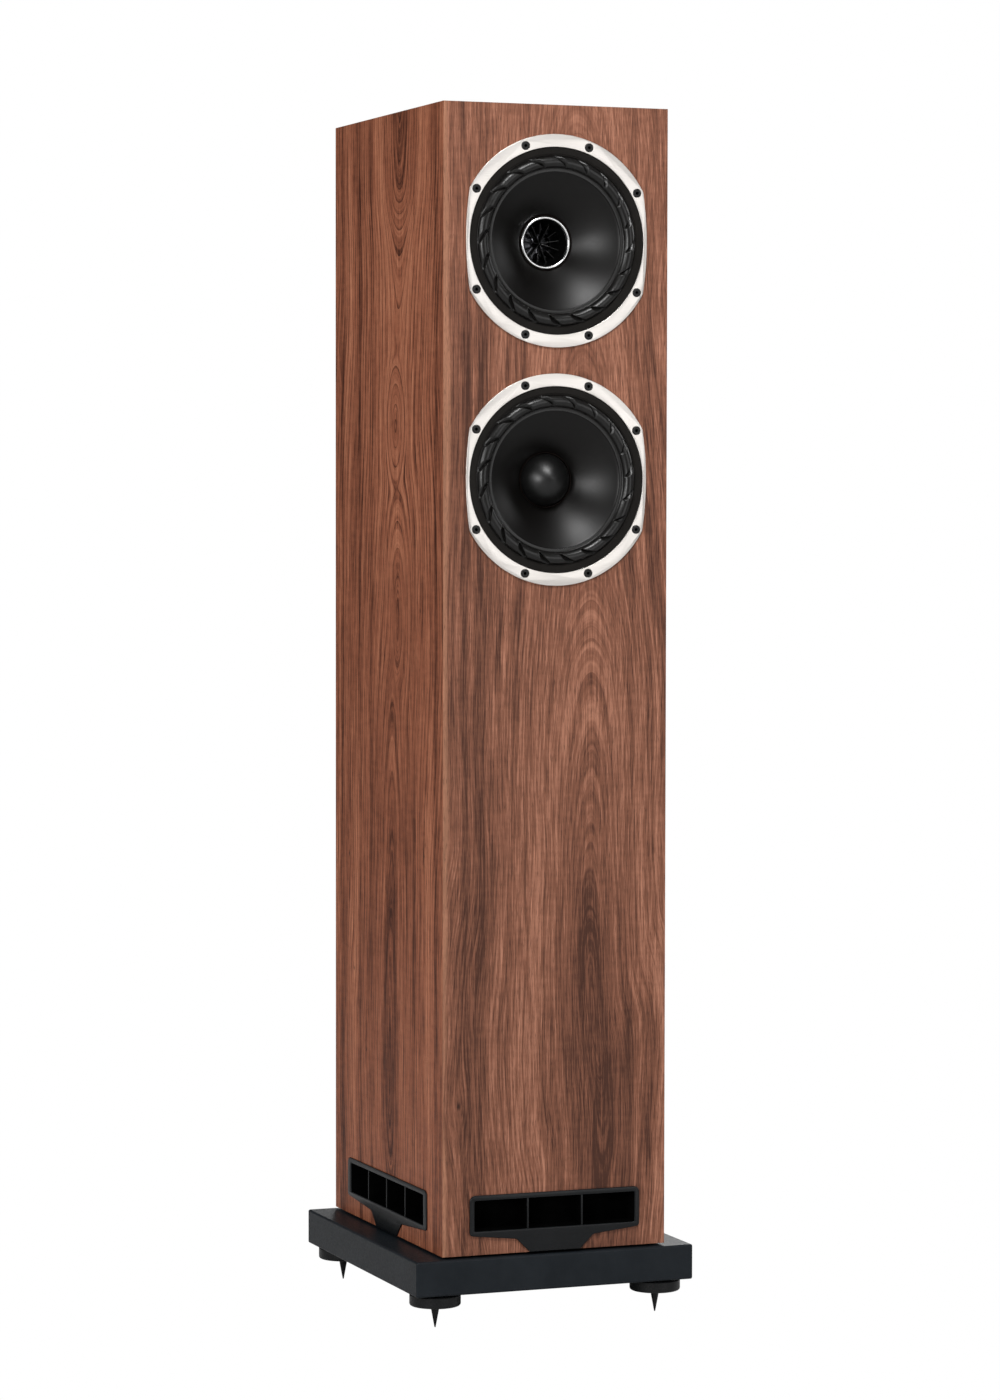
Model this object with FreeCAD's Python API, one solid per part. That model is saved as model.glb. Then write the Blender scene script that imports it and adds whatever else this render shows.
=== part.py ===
import FreeCAD, Part
import math
import os

os.makedirs("parts", exist_ok=True)

V = FreeCAD.Vector

# A slim floorstanding loudspeaker, in millimetres. The origin is on the floor under the middle of
# the plinth, +Z is up, and the drivers face -Y. Depths into the cabinet are counted from the
# front face of the baffle.

# Cabinet
CABINET_WIDTH = 200.0
CABINET_DEPTH = 272.0
CABINET_HEIGHT = 954.0
PANEL = 18.0                    # thickness of every cabinet panel

# Plinth and feet
PLINTH_OVERHANG_SIDE = 24.5
PLINTH_OVERHANG_FRONT = 5.0
PLINTH_THICKNESS = 29.7
PLINTH_EDGE_RADIUS = 1.7
SPACER_THICKNESS = 2.0
SPACER_INSET = 9.0
FOOT_INSET_SIDE = 24.9          # foot axis from the plinth's side edge
FOOT_INSET_FRONT = 23.7         # foot axis from the plinth's front or back edge
DISC_RADIUS = 21.5
DISC_THICKNESS = 9.6
DISC_NECK_RADIUS = 14.0
DISC_NECK_HEIGHT = 1.5
SPIKE_CONE_HEIGHT = 18.7
SPIKE_RADIUS = 4.0
SPIKE_TIP_RADIUS = 0.5
SPIKE_STUD_IN_PLINTH = 22.0
THREAD_CLEARANCE = 0.05         # radial clearance of a turning thread
STUD_END_GAP = 1.0
DISC_FOOT_ROUNDING = 2.0
DISC_RIM_BEVEL = 0.8
BOLT_RADIUS = 3.0
BOLT_HEAD_RADIUS = 5.0
BOLT_HEAD_HEIGHT = 6.0
BOLT_KEY = 5.0                  # across the flats of the hexagon hole
BOLT_KEY_DEPTH = 4.0
BOLT_RECESS = 8.0
BOLT_GRIP_IN_CABINET = 14.0
BOLT_INSET = 34.0               # bolt axis from the cabinet's outer faces

# Driver places, as heights above the cabinet's bottom face
UPPER_DRIVER_HEIGHT = 841.8
LOWER_DRIVER_HEIGHT = 644.3

# Driver, radii and depths
TRIM_RADIUS = 88.0
TRIM_HALF_WIDTH = 80.5
TRIM_SIDE_RADIUS = 270.0
TRIM_INNER_RADIUS = 77.5
TRIM_PROUD = 1.8
TRIM_EDGE = 0.5
FLANGE_INSET = 1.5              # basket flange inside the trim ring's outline
FLANGE_THICKNESS = 5.0
FIT_GAP = 0.2                   # between a driver or trim and the hole it drops into
BASKET_RADIUS = 74.0
SCREW_CIRCLE_RADIUS = 82.6
SCREW_FIRST_ANGLE = 30.0
SCREW_STEP_ANGLE = 40.0
SCREW_RADIUS = 2.0
SCREW_HEAD_RADIUS = 3.6
SCREW_HEAD_HEIGHT = 1.5
SCREW_SEAT_DEPTH = 0.9          # head seat below the trim ring's face
SCREW_SEAT_GAP = 0.3
SCREW_LENGTH = 16.0
SCREW_HEAD_BEVEL = 0.4
HEX_SOCKET = 2.5
HEX_SOCKET_DEPTH = 2.1
SURROUND_OUTER = 74.2
SURROUND_LIP = 1.0
ROLL_OUTER = 70.2
ROLL_INNER = 60.2
ROLL_HEIGHT = 4.4
ROLL_WALL = 1.0
GASKET_INNER = 70.6
GASKET_STEP = 71.8
GASKET_HEIGHT = 0.9
GASKET_GAP = 0.2
CONE_EDGE = 57.5
CONE_DEPTH = 25.0
CONE_WALL = 1.0
CONE_SAG = 0.41                 # how deep the cone is halfway to its neck, as a share of its depth
CONE_NECK_LENGTH = 2.4
CONE_RIM_GAP = 0.4              # between the cone's rim and the root of the surround's roll
POLE_RADIUS = 22.0
FORMER_INNER = POLE_RADIUS + 0.6
FORMER_WALL = 0.4
COIL_WALL = 1.0
COIL_LENGTH = 12.0
FORMER_OVERHANG = 1.0           # former below the winding, and inside the cone's neck
GAP_OUTER = FORMER_INNER + FORMER_WALL + COIL_WALL + 0.7
PLATE_DEPTH = 50.0
PLATE_THICKNESS = 7.0
PLATE_RADIUS = 48.0
MAGNET_INNER = GAP_OUTER + 2.3
MAGNET_RADIUS = 52.0
MAGNET_THICKNESS = 18.0
BACK_PLATE_THICKNESS = 8.0
POLE_VENT_RADIUS = 5.0
SPIDER_DEPTH = 40.0
SPIDER_RADIUS = 57.0
SPIDER_WALL = 0.8
SPIDER_ROLLS = 5
SPIDER_ROLL_HEIGHT = 2.2
SPIDER_FLAT_INNER = 4.0
SPIDER_FLAT_OUTER = 5.0
BASKET_WINDOWS = 6
BASKET_ARM_WIDTH = 14.0
BASKET_THROAT_WALL = 5.0
BASKET_BACK_WALL = 3.5
BASKET_LEDGE_GAP = 1.0          # between the spider's edge and the bowl round it
BASKET_LEDGE = 5.0
BASKET_WINDOW_START = 13.0
BASKET_PLATE_OVERLAP = 3.0

# Tweeter in the upper driver's throat
TWEETER_RING_DEPTH = 23.5
TWEETER_RING_LENGTH = 3.5
TWEETER_RING_BORE = 19.6
THROAT_RADIUS = 13.5
THROAT_DEPTH = 47.0
WAVEGUIDE_FINS = 13
FIN_THICKNESS = 0.8
FIN_FRONT_DEPTH = 34.0
SHORT_FIN_START = 8.0           # every other fin stops this far from the axis
FIRST_FIN_ANGLE = 9.0
HUB_RADIUS = 3.2
HUB_TIP_DEPTH = 42.0
HUB_TIP_LENGTH = 4.0
FIN_SWEEP = 4.0                 # fins lie this much deeper at the axis than at the wall
FIN_ROOT = 0.4                  # fins reach this far into the throat's wall
DOME_RADIUS = 12.6
DOME_HEIGHT = 2.4
DOME_WALL = 0.35
DOME_EDGE_DEPTH = 51.2
DOME_SKIRT_LENGTH = 5.0
TWEETER_GAP_CLEARANCE = 0.35
TWEETER_MOTOR_RADIUS = 17.0
TWEETER_MOTOR_DEPTH = 52.0
TWEETER_MOTOR_LENGTH = 22.0
TWEETER_POLE_SET_BACK = 0.4
SKIRT_END_GAP = 2.0
TWEETER_ROLL_WIDTH = 2.6
TWEETER_ROLL_HEIGHT = 0.8

# Phase plug in the lower driver
PLUG_TIP_DEPTH = 6.0
PLUG_SHOULDER_DEPTH = 25.0
PLUG_BELLY = (0.62, 0.32)       # middle of the plug's side: share of its radius, share of its height
PLUG_SEAT = 1.0

# Vent chamber, its trims and the port
VENT_SHELF_HEIGHT = 50.0        # underside of the shelf above the cabinet's bottom face
VENT_LOW = PANEL + 2.0
VENT_HIGH = 45.6
VENT_BAR = 1.7
VENT_SLEEVE_WALL = 1.5
VENT_TOP = 50.0
VENT_CORNER_HEIGHT = 16.4
VENT_TAB_HEIGHT = 11.9
VENT_CORNER_RADIUS = 5.0
VENT_SHOULDER_RADIUS = 3.0      # where the frame's underside turns up at each end
VENT_TAB_RADII = (4.0, 2.0)
VENT_BEVEL = 0.6
FRONT_VENT_HALF = 76.4
FRONT_OPENING_HALF = 72.2
FRONT_TAB_HALF = (34.7, 22.6)   # half-widths of the tab at its top and at its foot
FRONT_VENT_PROUD = 2.0
FRONT_CELLS = 3
SIDE_VENT_HALF = 100.0
SIDE_OPENING_HALF = 92.4
SIDE_TAB_HALF = (38.2, 26.0)
SIDE_VENT_PROUD = 1.3
SIDE_CELLS = 4
PORT_BORE = 35.0
PORT_WALL = 3.0
PORT_MOUTH = 48.0
PORT_FLANGE_RADIUS = 58.0
PORT_FLANGE_THICKNESS = 3.0
PORT_SOCKET_RADIUS = 52.0
PORT_LENGTH = 190.0
PORT_TOP_FLARE = 7.0

# Brace between the drivers
BRACE_WINDOW_GAP = 18.0         # bar between the brace's windows
BRACE_RIM = 16.0

# Terminal cup and binding posts
CUP_HEIGHT = 200.0              # middle of the cup above the cabinet's bottom face
CUP_WIDTH = 100.0
CUP_TALL = 84.0
CUP_PLATE = 2.0
CUP_CORNER = 7.0
RECESS_WIDTH = 78.0
RECESS_TALL = 60.0
RECESS_DEPTH = 24.0             # from the back face of the cabinet to the recess floor
CUP_WALL = 2.5
CUP_SCREW_RADIUS = 1.75
CUP_SCREW_HEAD = 3.4
CUP_SCREW_LENGTH = 14.0
CUP_SCREW_HEAD_HEIGHT = 1.6
CUP_SCREW_KEY = 2.0
CUP_SCREW_KEY_FLOOR = 0.2
POST_SPACING = 36.0
POST_RADIUS = 3.0
POST_SOCKET_RADIUS = 2.0
POST_SOCKET_DEPTH = 20.0
POST_COLLAR_RADIUS = 7.5
POST_COLLAR = 5.0
CLAMP_WASHER_RADIUS = 6.0
CLAMP_WASHER_THICKNESS = 1.5
KNOB_RADIUS = 7.0
KNOB_LENGTH = 18.0
KNOB_BEVEL = 0.8
KNOB_THREAD_CLEARANCE = 0.06

# Crossover and wiring
BOARD_WIDTH = 132.0
BOARD_TALL = 150.0
BOARD_THICKNESS = 1.6
BOARD_GAP = 4.0                 # between the cup's floor and the board
NUT_RADIUS = 5.0
NUT_HEIGHT = 3.0
INDUCTOR_RADIUS = 23.0
INDUCTOR_BORE = 9.0
INDUCTOR_LENGTH = 22.0
CAPACITOR_RADIUS = 9.0
CAPACITOR_LENGTH = 42.0
RESISTOR_SIZE = 9.0
RESISTOR_START = 6.0
PART_SPACING = 4.0              # between neighbours on the board, and from its edges
CAPACITOR_MIDDLE_GAP = 5.0      # from the board's middle to a capacitor's near end
CABLE_RADIUS = 2.5
CABLE_WALL_GAP = 9.0            # cable axis from the inner face of the side panel
CABLE_BOARD_EDGE = 8.0
CABLE_LEAD_OUT = 30.0           # straight run out of the board
CABLE_LEAD_SLOPE = 6.0
CABLE_FIRST_RISE = 80.0
CABLE_WINDOW_SIDE = 18.0        # from the brace's middle bar to the cable's path
TERMINAL_BLOCK_WIDTH = 16.0
TERMINAL_BLOCK_HEIGHT = 9.0
TERMINAL_BLOCK_SINK = 2.0       # how far the block is rooted in the basket
WADDING_THICKNESS = 25.0
WADDING_HEIGHT = 330.0
WADDING_SIDE_GAP = 18.0
WADDING_END_GAP = 14.0

# Worked out from the sizes above
HALF_W = CABINET_WIDTH / 2
HALF_D = CABINET_DEPTH / 2
PLINTH_HALF_W = HALF_W + PLINTH_OVERHANG_SIDE
PLINTH_HALF_D = HALF_D + PLINTH_OVERHANG_FRONT
DISC_BOTTOM = SPIKE_CONE_HEIGHT
PLINTH_BOTTOM = DISC_BOTTOM + DISC_THICKNESS + DISC_NECK_HEIGHT
PLINTH_TOP = PLINTH_BOTTOM + PLINTH_THICKNESS
BASE = PLINTH_TOP + SPACER_THICKNESS
TOP = BASE + CABINET_HEIGHT
FRONT = -HALF_D
BACK = HALF_D
INNER_W = HALF_W - PANEL
INNER_D = HALF_D - PANEL
SHELF_BOTTOM = BASE + VENT_SHELF_HEIGHT
SHELF_TOP = SHELF_BOTTOM + PANEL
UPPER_Z = BASE + UPPER_DRIVER_HEIGHT
LOWER_Z = BASE + LOWER_DRIVER_HEIGHT
MAGNET_DEPTH = PLATE_DEPTH + PLATE_THICKNESS
BACK_PLATE_DEPTH = MAGNET_DEPTH + MAGNET_THICKNESS
FORMER_OUTER = FORMER_INNER + FORMER_WALL
COIL_OUTER = FORMER_OUTER + COIL_WALL
COIL_MIDDLE = PLATE_DEPTH + PLATE_THICKNESS / 2
CUP_Z = BASE + CUP_HEIGHT
RECESS_FLOOR = BACK - RECESS_DEPTH
CUP_INNER_FACE = RECESS_FLOOR - CUP_WALL
BOARD_BACK = CUP_INNER_FACE - BOARD_GAP
BOARD_FRONT = BOARD_BACK - BOARD_THICKNESS
COLLAR_FACE = RECESS_FLOOR + POST_COLLAR
WASHER_FACE = COLLAR_FACE + CLAMP_WASHER_THICKNESS
POST_END = WASHER_FACE + KNOB_LENGTH
BRACE_BOTTOM = (UPPER_Z + LOWER_Z - PANEL) / 2
LEDGE_OUTER = SPIDER_RADIUS + BASKET_LEDGE_GAP
BASKET_BACK_RADIUS = LEDGE_OUTER + BASKET_BACK_WALL
BLOCK_REACH = BASKET_BACK_RADIUS + TERMINAL_BLOCK_HEIGHT

ALL_NODES = []


# Shape helpers

def save(name, *solids):
    shape = solids[0] if len(solids) == 1 else Part.makeCompound(list(solids))
    shape.exportStep("parts/" + name + ".step")
    ALL_NODES.append((name, shape))


def box(x0, x1, y0, y1, z0, z1):
    return Part.makeBox(x1 - x0, y1 - y0, z1 - z0, V(x0, y0, z0))


def cylinder_y(radius, y0, y1, x, z):
    return Part.makeCylinder(radius, y1 - y0, V(x, y0, z), V(0, 1, 0))


def cylinder_z(radius, z0, z1, x, y):
    return Part.makeCylinder(radius, z1 - z0, V(x, y, z0), V(0, 0, 1))


def path_edges(path, place):
    """Edges of a closed outline. An item is a point, or (middle, end) for an arc from the last point."""
    edges = []
    last = path[0]
    for item in path[1:]:
        if isinstance(item[0], tuple):
            middle, end = item
            edges.append(Part.Arc(place(last), place(middle), place(end)).toShape())
        else:
            end = item
            edges.append(Part.LineSegment(place(last), place(end)).toShape())
        last = end
    if last != path[0]:
        edges.append(Part.LineSegment(place(last), place(path[0])).toShape())
    return edges


def turned(path, centre, axis, place):
    face = Part.Face(Part.Wire(path_edges(path, place)))
    solid = face.revolve(centre, axis, 360)
    return solid if solid.Volume > 0 else solid.reversed()


def lathe_y(path, x, z, y0=FRONT):
    """A solid of revolution about a driver's axis, from (radius, depth) points."""
    return turned(path, V(x, y0, z), V(0, 1, 0), lambda p: V(x + p[0], y0 + p[1], z))


def lathe_z(path, x, y):
    """A solid of revolution about a vertical axis, from (radius, height) points."""
    return turned(path, V(x, y, 0), V(0, 0, 1), lambda p: V(x + p[0], y, p[1]))


def tube_y(outer, inner, d0, d1, z):
    return lathe_y([(inner, d0), (outer, d0), (outer, d1), (inner, d1)], 0, z)


def rounded_outline(points, radii):
    """Wire in the XZ plane through points (x, z) with each corner rounded to its own radius."""
    count = len(points)
    arcs = []
    for i in range(count):
        here = V(points[i][0], 0, points[i][1])
        before = V(points[i - 1][0], 0, points[i - 1][1]) - here
        after = V(points[(i + 1) % count][0], 0, points[(i + 1) % count][1]) - here
        before.normalize()
        after.normalize()
        half = before.getAngle(after) / 2
        reach = radii[i] / math.tan(half)
        inward = (before + after).normalize()
        middle = here + inward * (radii[i] / math.sin(half) - radii[i])
        arcs.append((here + before * reach, middle, here + after * reach))
    edges = []
    for i in range(count):
        start, middle, end = arcs[i]
        edges.append(Part.Arc(start, middle, end).toShape())
        edges.append(Part.LineSegment(end, arcs[(i + 1) % count][0]).toShape())
    return Part.Wire(edges)


def rounded_plate(points, radii, y0, y1):
    plate = Part.Face(rounded_outline(points, radii)).extrude(V(0, y1 - y0, 0))
    plate.translate(V(0, y0, 0))
    return plate


def rounded_box_y(width, tall, radius, y0, y1, z):
    w = width / 2
    h = tall / 2
    corners = [(-w, z - h), (-w, z + h), (w, z + h), (w, z - h)]
    return rounded_plate(corners, [radius] * 4, y0, y1)


def bevel(solid, size, wanted):
    edges = [e for e in solid.Edges if wanted(e)]
    return solid.makeChamfer(size, edges)


def at_y(edge, y):
    return all(abs(v.Y - y) < 1e-6 for v in edge.Vertexes)


# Cabinet

def mitred_panel(centre, across, up, inward, half_across, half_up):
    """A panel whose four edges are cut at 45 degrees, from its outer face inwards."""
    def corner(a, b, depth):
        sideways = across * a * (half_across - depth)
        return centre + sideways + up * b * (half_up - depth) + inward * depth

    signs = [(-1, -1), (1, -1), (1, 1), (-1, 1)]
    outer = [corner(a, b, 0) for a, b in signs]
    inner = [corner(a, b, PANEL) for a, b in signs]
    loops = [outer, inner]
    for i in range(4):
        j = (i + 1) % 4
        loops.append([outer[i], outer[j], inner[j], inner[i]])
    faces = [Part.Face(Part.makePolygon(loop + [loop[0]])) for loop in loops]
    solid = Part.Solid(Part.Shell(faces))
    return solid if solid.Volume > 0 else solid.reversed()


def driver_outline(inset, d0, d1, z):
    """The ring's outline, a circle cut off by a shallow arc at each side, made inset smaller."""
    side = TRIM_SIDE_RADIUS - inset
    offset = TRIM_SIDE_RADIUS - TRIM_HALF_WIDTH
    shape = cylinder_y(TRIM_RADIUS - inset, FRONT + d0, FRONT + d1, 0, z)
    for sign in (-1, 1):
        shape = shape.common(cylinder_y(side, FRONT + d0, FRONT + d1, sign * offset, z))
    return shape


def screw_places(z):
    # The screws keep clear of the ring's narrow sides, so they sit in two groups of four.
    upper_half = [SCREW_FIRST_ANGLE + i * SCREW_STEP_ANGLE for i in range(4)]
    radians = [math.radians(a) for a in upper_half + [a + 180 for a in upper_half]]
    return [(SCREW_CIRCLE_RADIUS * math.cos(a), z + SCREW_CIRCLE_RADIUS * math.sin(a)) for a in radians]


def driver_cutout(z):
    cut = driver_outline(FLANGE_INSET - FIT_GAP, -1, FLANGE_THICKNESS, z)
    cut = cut.fuse(cylinder_y(BASKET_RADIUS + FIT_GAP * 5, FRONT - 1, FRONT + PANEL + 1, 0, z))
    for x, sz in screw_places(z):
        cut = cut.fuse(cylinder_y(SCREW_RADIUS, FRONT, FRONT + SCREW_LENGTH + 1, x, sz))
    return cut


def sleeve_cutout(half_opening):
    """The slot that a vent trim's sleeve passes through, for a trim that faces -Y."""
    grow = VENT_SLEEVE_WALL + FIT_GAP
    return box(-half_opening - grow, half_opening + grow, -1, PANEL + 1, VENT_LOW - grow, VENT_HIGH + grow)


def place_on_face(shape, angle):
    """Carries a shape made for a wall at y = 0 that faces -Y to the cabinet's wall at that angle."""
    reach = {0: HALF_D, 180: HALF_D, 90: HALF_W, 270: HALF_W}[angle]
    moved = shape.copy()
    moved.translate(V(0, -reach, BASE))
    moved.rotate(V(0, 0, 0), V(0, 0, 1), angle)
    return moved


def cabinet():
    x, y, z = V(1, 0, 0), V(0, 1, 0), V(0, 0, 1)
    middle = (BASE + TOP) / 2
    half_h = CABINET_HEIGHT / 2
    baffle = mitred_panel(V(0, FRONT, middle), x, z, y, HALF_W, half_h)
    baffle = baffle.cut(driver_cutout(UPPER_Z)).cut(driver_cutout(LOWER_Z))
    baffle = baffle.cut(place_on_face(sleeve_cutout(FRONT_OPENING_HALF), 0))
    save("front_baffle", baffle)

    rear = mitred_panel(V(0, BACK, middle), x, z, y * -1, HALF_W, half_h)
    rear = rear.cut(place_on_face(sleeve_cutout(FRONT_OPENING_HALF), 180))
    hole_w = RECESS_WIDTH + 2 * (CUP_WALL + FIT_GAP)
    hole_h = RECESS_TALL + 2 * (CUP_WALL + FIT_GAP)
    rear = rear.cut(rounded_box_y(hole_w, hole_h, CUP_CORNER, INNER_D - 1, BACK + 1, CUP_Z))
    for sx, sz in cup_screw_places():
        rear = rear.cut(cylinder_y(CUP_SCREW_RADIUS, BACK - CUP_SCREW_LENGTH - 1, BACK + 1, sx, sz))
    save("back_panel", rear)

    slot = sleeve_cutout(SIDE_OPENING_HALF)
    left = mitred_panel(V(-HALF_W, 0, middle), y, z, x, HALF_D, half_h)
    save("side_panel_left", left.cut(place_on_face(slot, 270)))
    right = mitred_panel(V(HALF_W, 0, middle), y, z, x * -1, HALF_D, half_h)
    save("side_panel_right", right.cut(place_on_face(slot, 90)))

    save("top_panel", mitred_panel(V(0, 0, TOP), x, y, z * -1, HALF_W, HALF_D))
    bottom = mitred_panel(V(0, 0, BASE), x, y, z, HALF_W, HALF_D)
    for bx, by in bolt_places():
        bottom = bottom.cut(cylinder_z(BOLT_RADIUS, BASE - 1, BASE + BOLT_GRIP_IN_CABINET + 1, bx, by))
    save("bottom_panel", bottom)


def brace():
    """A shelf between the drivers with four windows that let the air through."""
    z0 = BRACE_BOTTOM
    shape = box(-INNER_W, INNER_W, -INNER_D, INNER_D, z0, z0 + PANEL)
    wide = INNER_W - BRACE_RIM - BRACE_WINDOW_GAP / 2
    long = INNER_D - BRACE_RIM - BRACE_WINDOW_GAP / 2
    for sx in (-1, 1):
        for sy in (-1, 1):
            cx = sx * (BRACE_WINDOW_GAP + wide) / 2
            cy = sy * (BRACE_WINDOW_GAP + long) / 2
            hole = box(cx - wide / 2, cx + wide / 2, cy - long / 2, cy + long / 2, z0 - 1, z0 + PANEL + 1)
            shape = shape.cut(hole)
    save("window_brace", shape)


# Vent chamber

def vent_trim(half, opening_half, tab_half, proud, cells):
    """A moulded frame with a tab below, a sleeve through the wall and bars across the sleeve."""
    tab_top, tab_foot = tab_half
    right = [(half, VENT_TOP), (half, VENT_CORNER_HEIGHT), (tab_top, VENT_TAB_HEIGHT), (tab_foot, 0)]
    points = right + [(-x, z) for x, z in reversed(right)]
    right_radii = [VENT_CORNER_RADIUS, VENT_SHOULDER_RADIUS, *VENT_TAB_RADII]
    radii = right_radii + right_radii[::-1]
    frame = rounded_plate(points, radii, -proud, 0)
    frame = bevel(frame, VENT_BEVEL, lambda e: at_y(e, -proud))
    wall = VENT_SLEEVE_WALL
    reach = opening_half + wall
    frame = frame.fuse(box(-reach, reach, -proud / 2, PANEL, VENT_LOW - wall, VENT_HIGH + wall))
    frame = frame.cut(box(-opening_half, opening_half, -proud - 1, PANEL + 1, VENT_LOW, VENT_HIGH))
    pitch = (2 * opening_half + VENT_BAR) / cells
    for i in range(1, cells):
        x = pitch * i - opening_half - VENT_BAR
        root = wall / 2
        frame = frame.fuse(box(x, x + VENT_BAR, -proud / 2, PANEL, VENT_LOW - root, VENT_HIGH + root))
    return frame.removeSplitter()


def vents():
    wide = vent_trim(SIDE_VENT_HALF, SIDE_OPENING_HALF, SIDE_TAB_HALF, SIDE_VENT_PROUD, SIDE_CELLS)
    narrow = vent_trim(FRONT_VENT_HALF, FRONT_OPENING_HALF, FRONT_TAB_HALF, FRONT_VENT_PROUD, FRONT_CELLS)
    save("vent_trim_front", place_on_face(narrow, 0))
    save("vent_trim_back", place_on_face(narrow, 180))
    save("vent_trim_left", place_on_face(wide, 270))
    save("vent_trim_right", place_on_face(wide, 90))


def flare_middle(bore, flare, height):
    """How far in and along the middle of a flare's arc lies, for an arc tangent to the bore."""
    radius = (flare * flare + height * height) / (2 * flare)
    half = math.asin(height / radius) / 2
    return radius - radius * math.cos(half), height - radius * math.sin(half)


def port():
    shelf = box(-INNER_W, INNER_W, -INNER_D, INNER_D, SHELF_BOTTOM, SHELF_TOP)
    socket = cylinder_z(PORT_SOCKET_RADIUS, SHELF_BOTTOM - 1, SHELF_TOP + 1, 0, 0)
    save("vent_chamber_shelf", shelf.cut(socket))

    low = SHELF_BOTTOM - PORT_FLANGE_THICKNESS
    high = SHELF_BOTTOM + PORT_LENGTH
    outer = PORT_BORE + PORT_WALL
    flare = PORT_MOUTH - PORT_BORE
    out, along = flare_middle(PORT_BORE, flare, 2 * flare)
    top_out, top_along = flare_middle(PORT_BORE, PORT_TOP_FLARE, 2 * PORT_TOP_FLARE)
    flare_start = high - 2 * PORT_TOP_FLARE
    save("port_tube", lathe_z([
        (PORT_MOUTH, low), (PORT_FLANGE_RADIUS, low), (PORT_FLANGE_RADIUS, SHELF_BOTTOM),
        (PORT_SOCKET_RADIUS, SHELF_BOTTOM), (PORT_SOCKET_RADIUS, SHELF_TOP), (outer, SHELF_TOP + flare),
        (outer, flare_start), (outer + PORT_TOP_FLARE, high), (PORT_BORE + PORT_TOP_FLARE, high),
        ((PORT_BORE + top_out, high - top_along), (PORT_BORE, flare_start)),
        (PORT_BORE, low + 2 * flare), ((PORT_BORE + out, low + along), (PORT_MOUTH, low))], 0, 0))


# Plinth and feet

def bolt_places():
    x = HALF_W - BOLT_INSET
    y = HALF_D - BOLT_INSET
    return [(sx * x, sy * y) for sx in (-1, 1) for sy in (-1, 1)]


def foot_places():
    x = PLINTH_HALF_W - FOOT_INSET_SIDE
    y = PLINTH_HALF_D - FOOT_INSET_FRONT
    return {
        "front_left": (-x, -y), "front_right": (x, -y),
        "back_left": (-x, y), "back_right": (x, y),
    }


def plinth():
    board = box(-PLINTH_HALF_W, PLINTH_HALF_W, -PLINTH_HALF_D, PLINTH_HALF_D, PLINTH_BOTTOM, PLINTH_TOP)
    board = board.makeFillet(PLINTH_EDGE_RADIUS, board.Edges)
    bolts = []
    pad_w = HALF_W - SPACER_INSET
    pad_d = HALF_D - SPACER_INSET
    pad = box(-pad_w, pad_w, -pad_d, pad_d, PLINTH_TOP, BASE)
    seat = PLINTH_BOTTOM + BOLT_RECESS
    head_end = seat - BOLT_HEAD_HEIGHT
    for x, y in bolt_places():
        board = board.cut(cylinder_z(BOLT_RADIUS, PLINTH_BOTTOM - 1, PLINTH_TOP + 1, x, y))
        board = board.cut(cylinder_z(BOLT_HEAD_RADIUS + FIT_GAP, PLINTH_BOTTOM - 1, seat, x, y))
        pad = pad.cut(cylinder_z(BOLT_RADIUS, PLINTH_TOP - 1, BASE + 1, x, y))
        bolt = cylinder_z(BOLT_HEAD_RADIUS, head_end, seat, x, y)
        bolt = bolt.fuse(cylinder_z(BOLT_RADIUS, seat, BASE + BOLT_GRIP_IN_CABINET, x, y))
        bolts.append(bolt.cut(hexagon_z(BOLT_KEY, head_end - 1, head_end + BOLT_KEY_DEPTH, x, y)))
    for x, y in foot_places().values():
        top = PLINTH_BOTTOM + SPIKE_STUD_IN_PLINTH + STUD_END_GAP
        board = board.cut(cylinder_z(SPIKE_RADIUS + THREAD_CLEARANCE, PLINTH_BOTTOM - 1, top, x, y))
    save("plinth", board)
    save("plinth_spacer", pad)
    save("plinth_bolts", *bolts)


def hexagon_corners(across_flats):
    """The closed outline of a hexagon about the origin."""
    corner = across_flats / 2 / math.cos(math.pi / 6)
    angles = [k * math.pi / 3 for k in range(7)]
    return [(corner * math.cos(a), corner * math.sin(a)) for a in angles]


def hexagon_z(across_flats, z0, z1, x, y):
    ring = [V(x + a, y + b, z0) for a, b in hexagon_corners(across_flats)]
    return Part.Face(Part.makePolygon(ring)).extrude(V(0, 0, z1 - z0))


def hexagon_y(across_flats, y0, y1, x, z):
    ring = [V(x + a, y0, z + b) for a, b in hexagon_corners(across_flats)]
    return Part.Face(Part.makePolygon(ring)).extrude(V(0, y1 - y0, 0))


def feet():
    bore = SPIKE_RADIUS + THREAD_CLEARANCE
    low = DISC_BOTTOM
    high = DISC_BOTTOM + DISC_THICKNESS
    soft = DISC_FOOT_ROUNDING
    rim = DISC_RIM_BEVEL
    k = 1 - math.sqrt(0.5)
    stud_end = PLINTH_BOTTOM + SPIKE_STUD_IN_PLINTH
    for corner, (x, y) in foot_places().items():
        disc = lathe_z([
            (bore, low), (DISC_RADIUS - soft, low),
            ((DISC_RADIUS - soft * k, low + soft * k), (DISC_RADIUS, low + soft)),
            (DISC_RADIUS, high - rim), (DISC_RADIUS - rim, high), (DISC_NECK_RADIUS, high),
            (DISC_NECK_RADIUS, PLINTH_BOTTOM), (bore, PLINTH_BOTTOM)], x, y)
        save("foot_disc_" + corner, disc)
        spike = lathe_z([
            (0, 0), (SPIKE_TIP_RADIUS, 0), (SPIKE_RADIUS, SPIKE_CONE_HEIGHT),
            (SPIKE_RADIUS, stud_end), (0, stud_end)], x, y)
        save("foot_spike_" + corner, spike)


# Drivers

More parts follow.
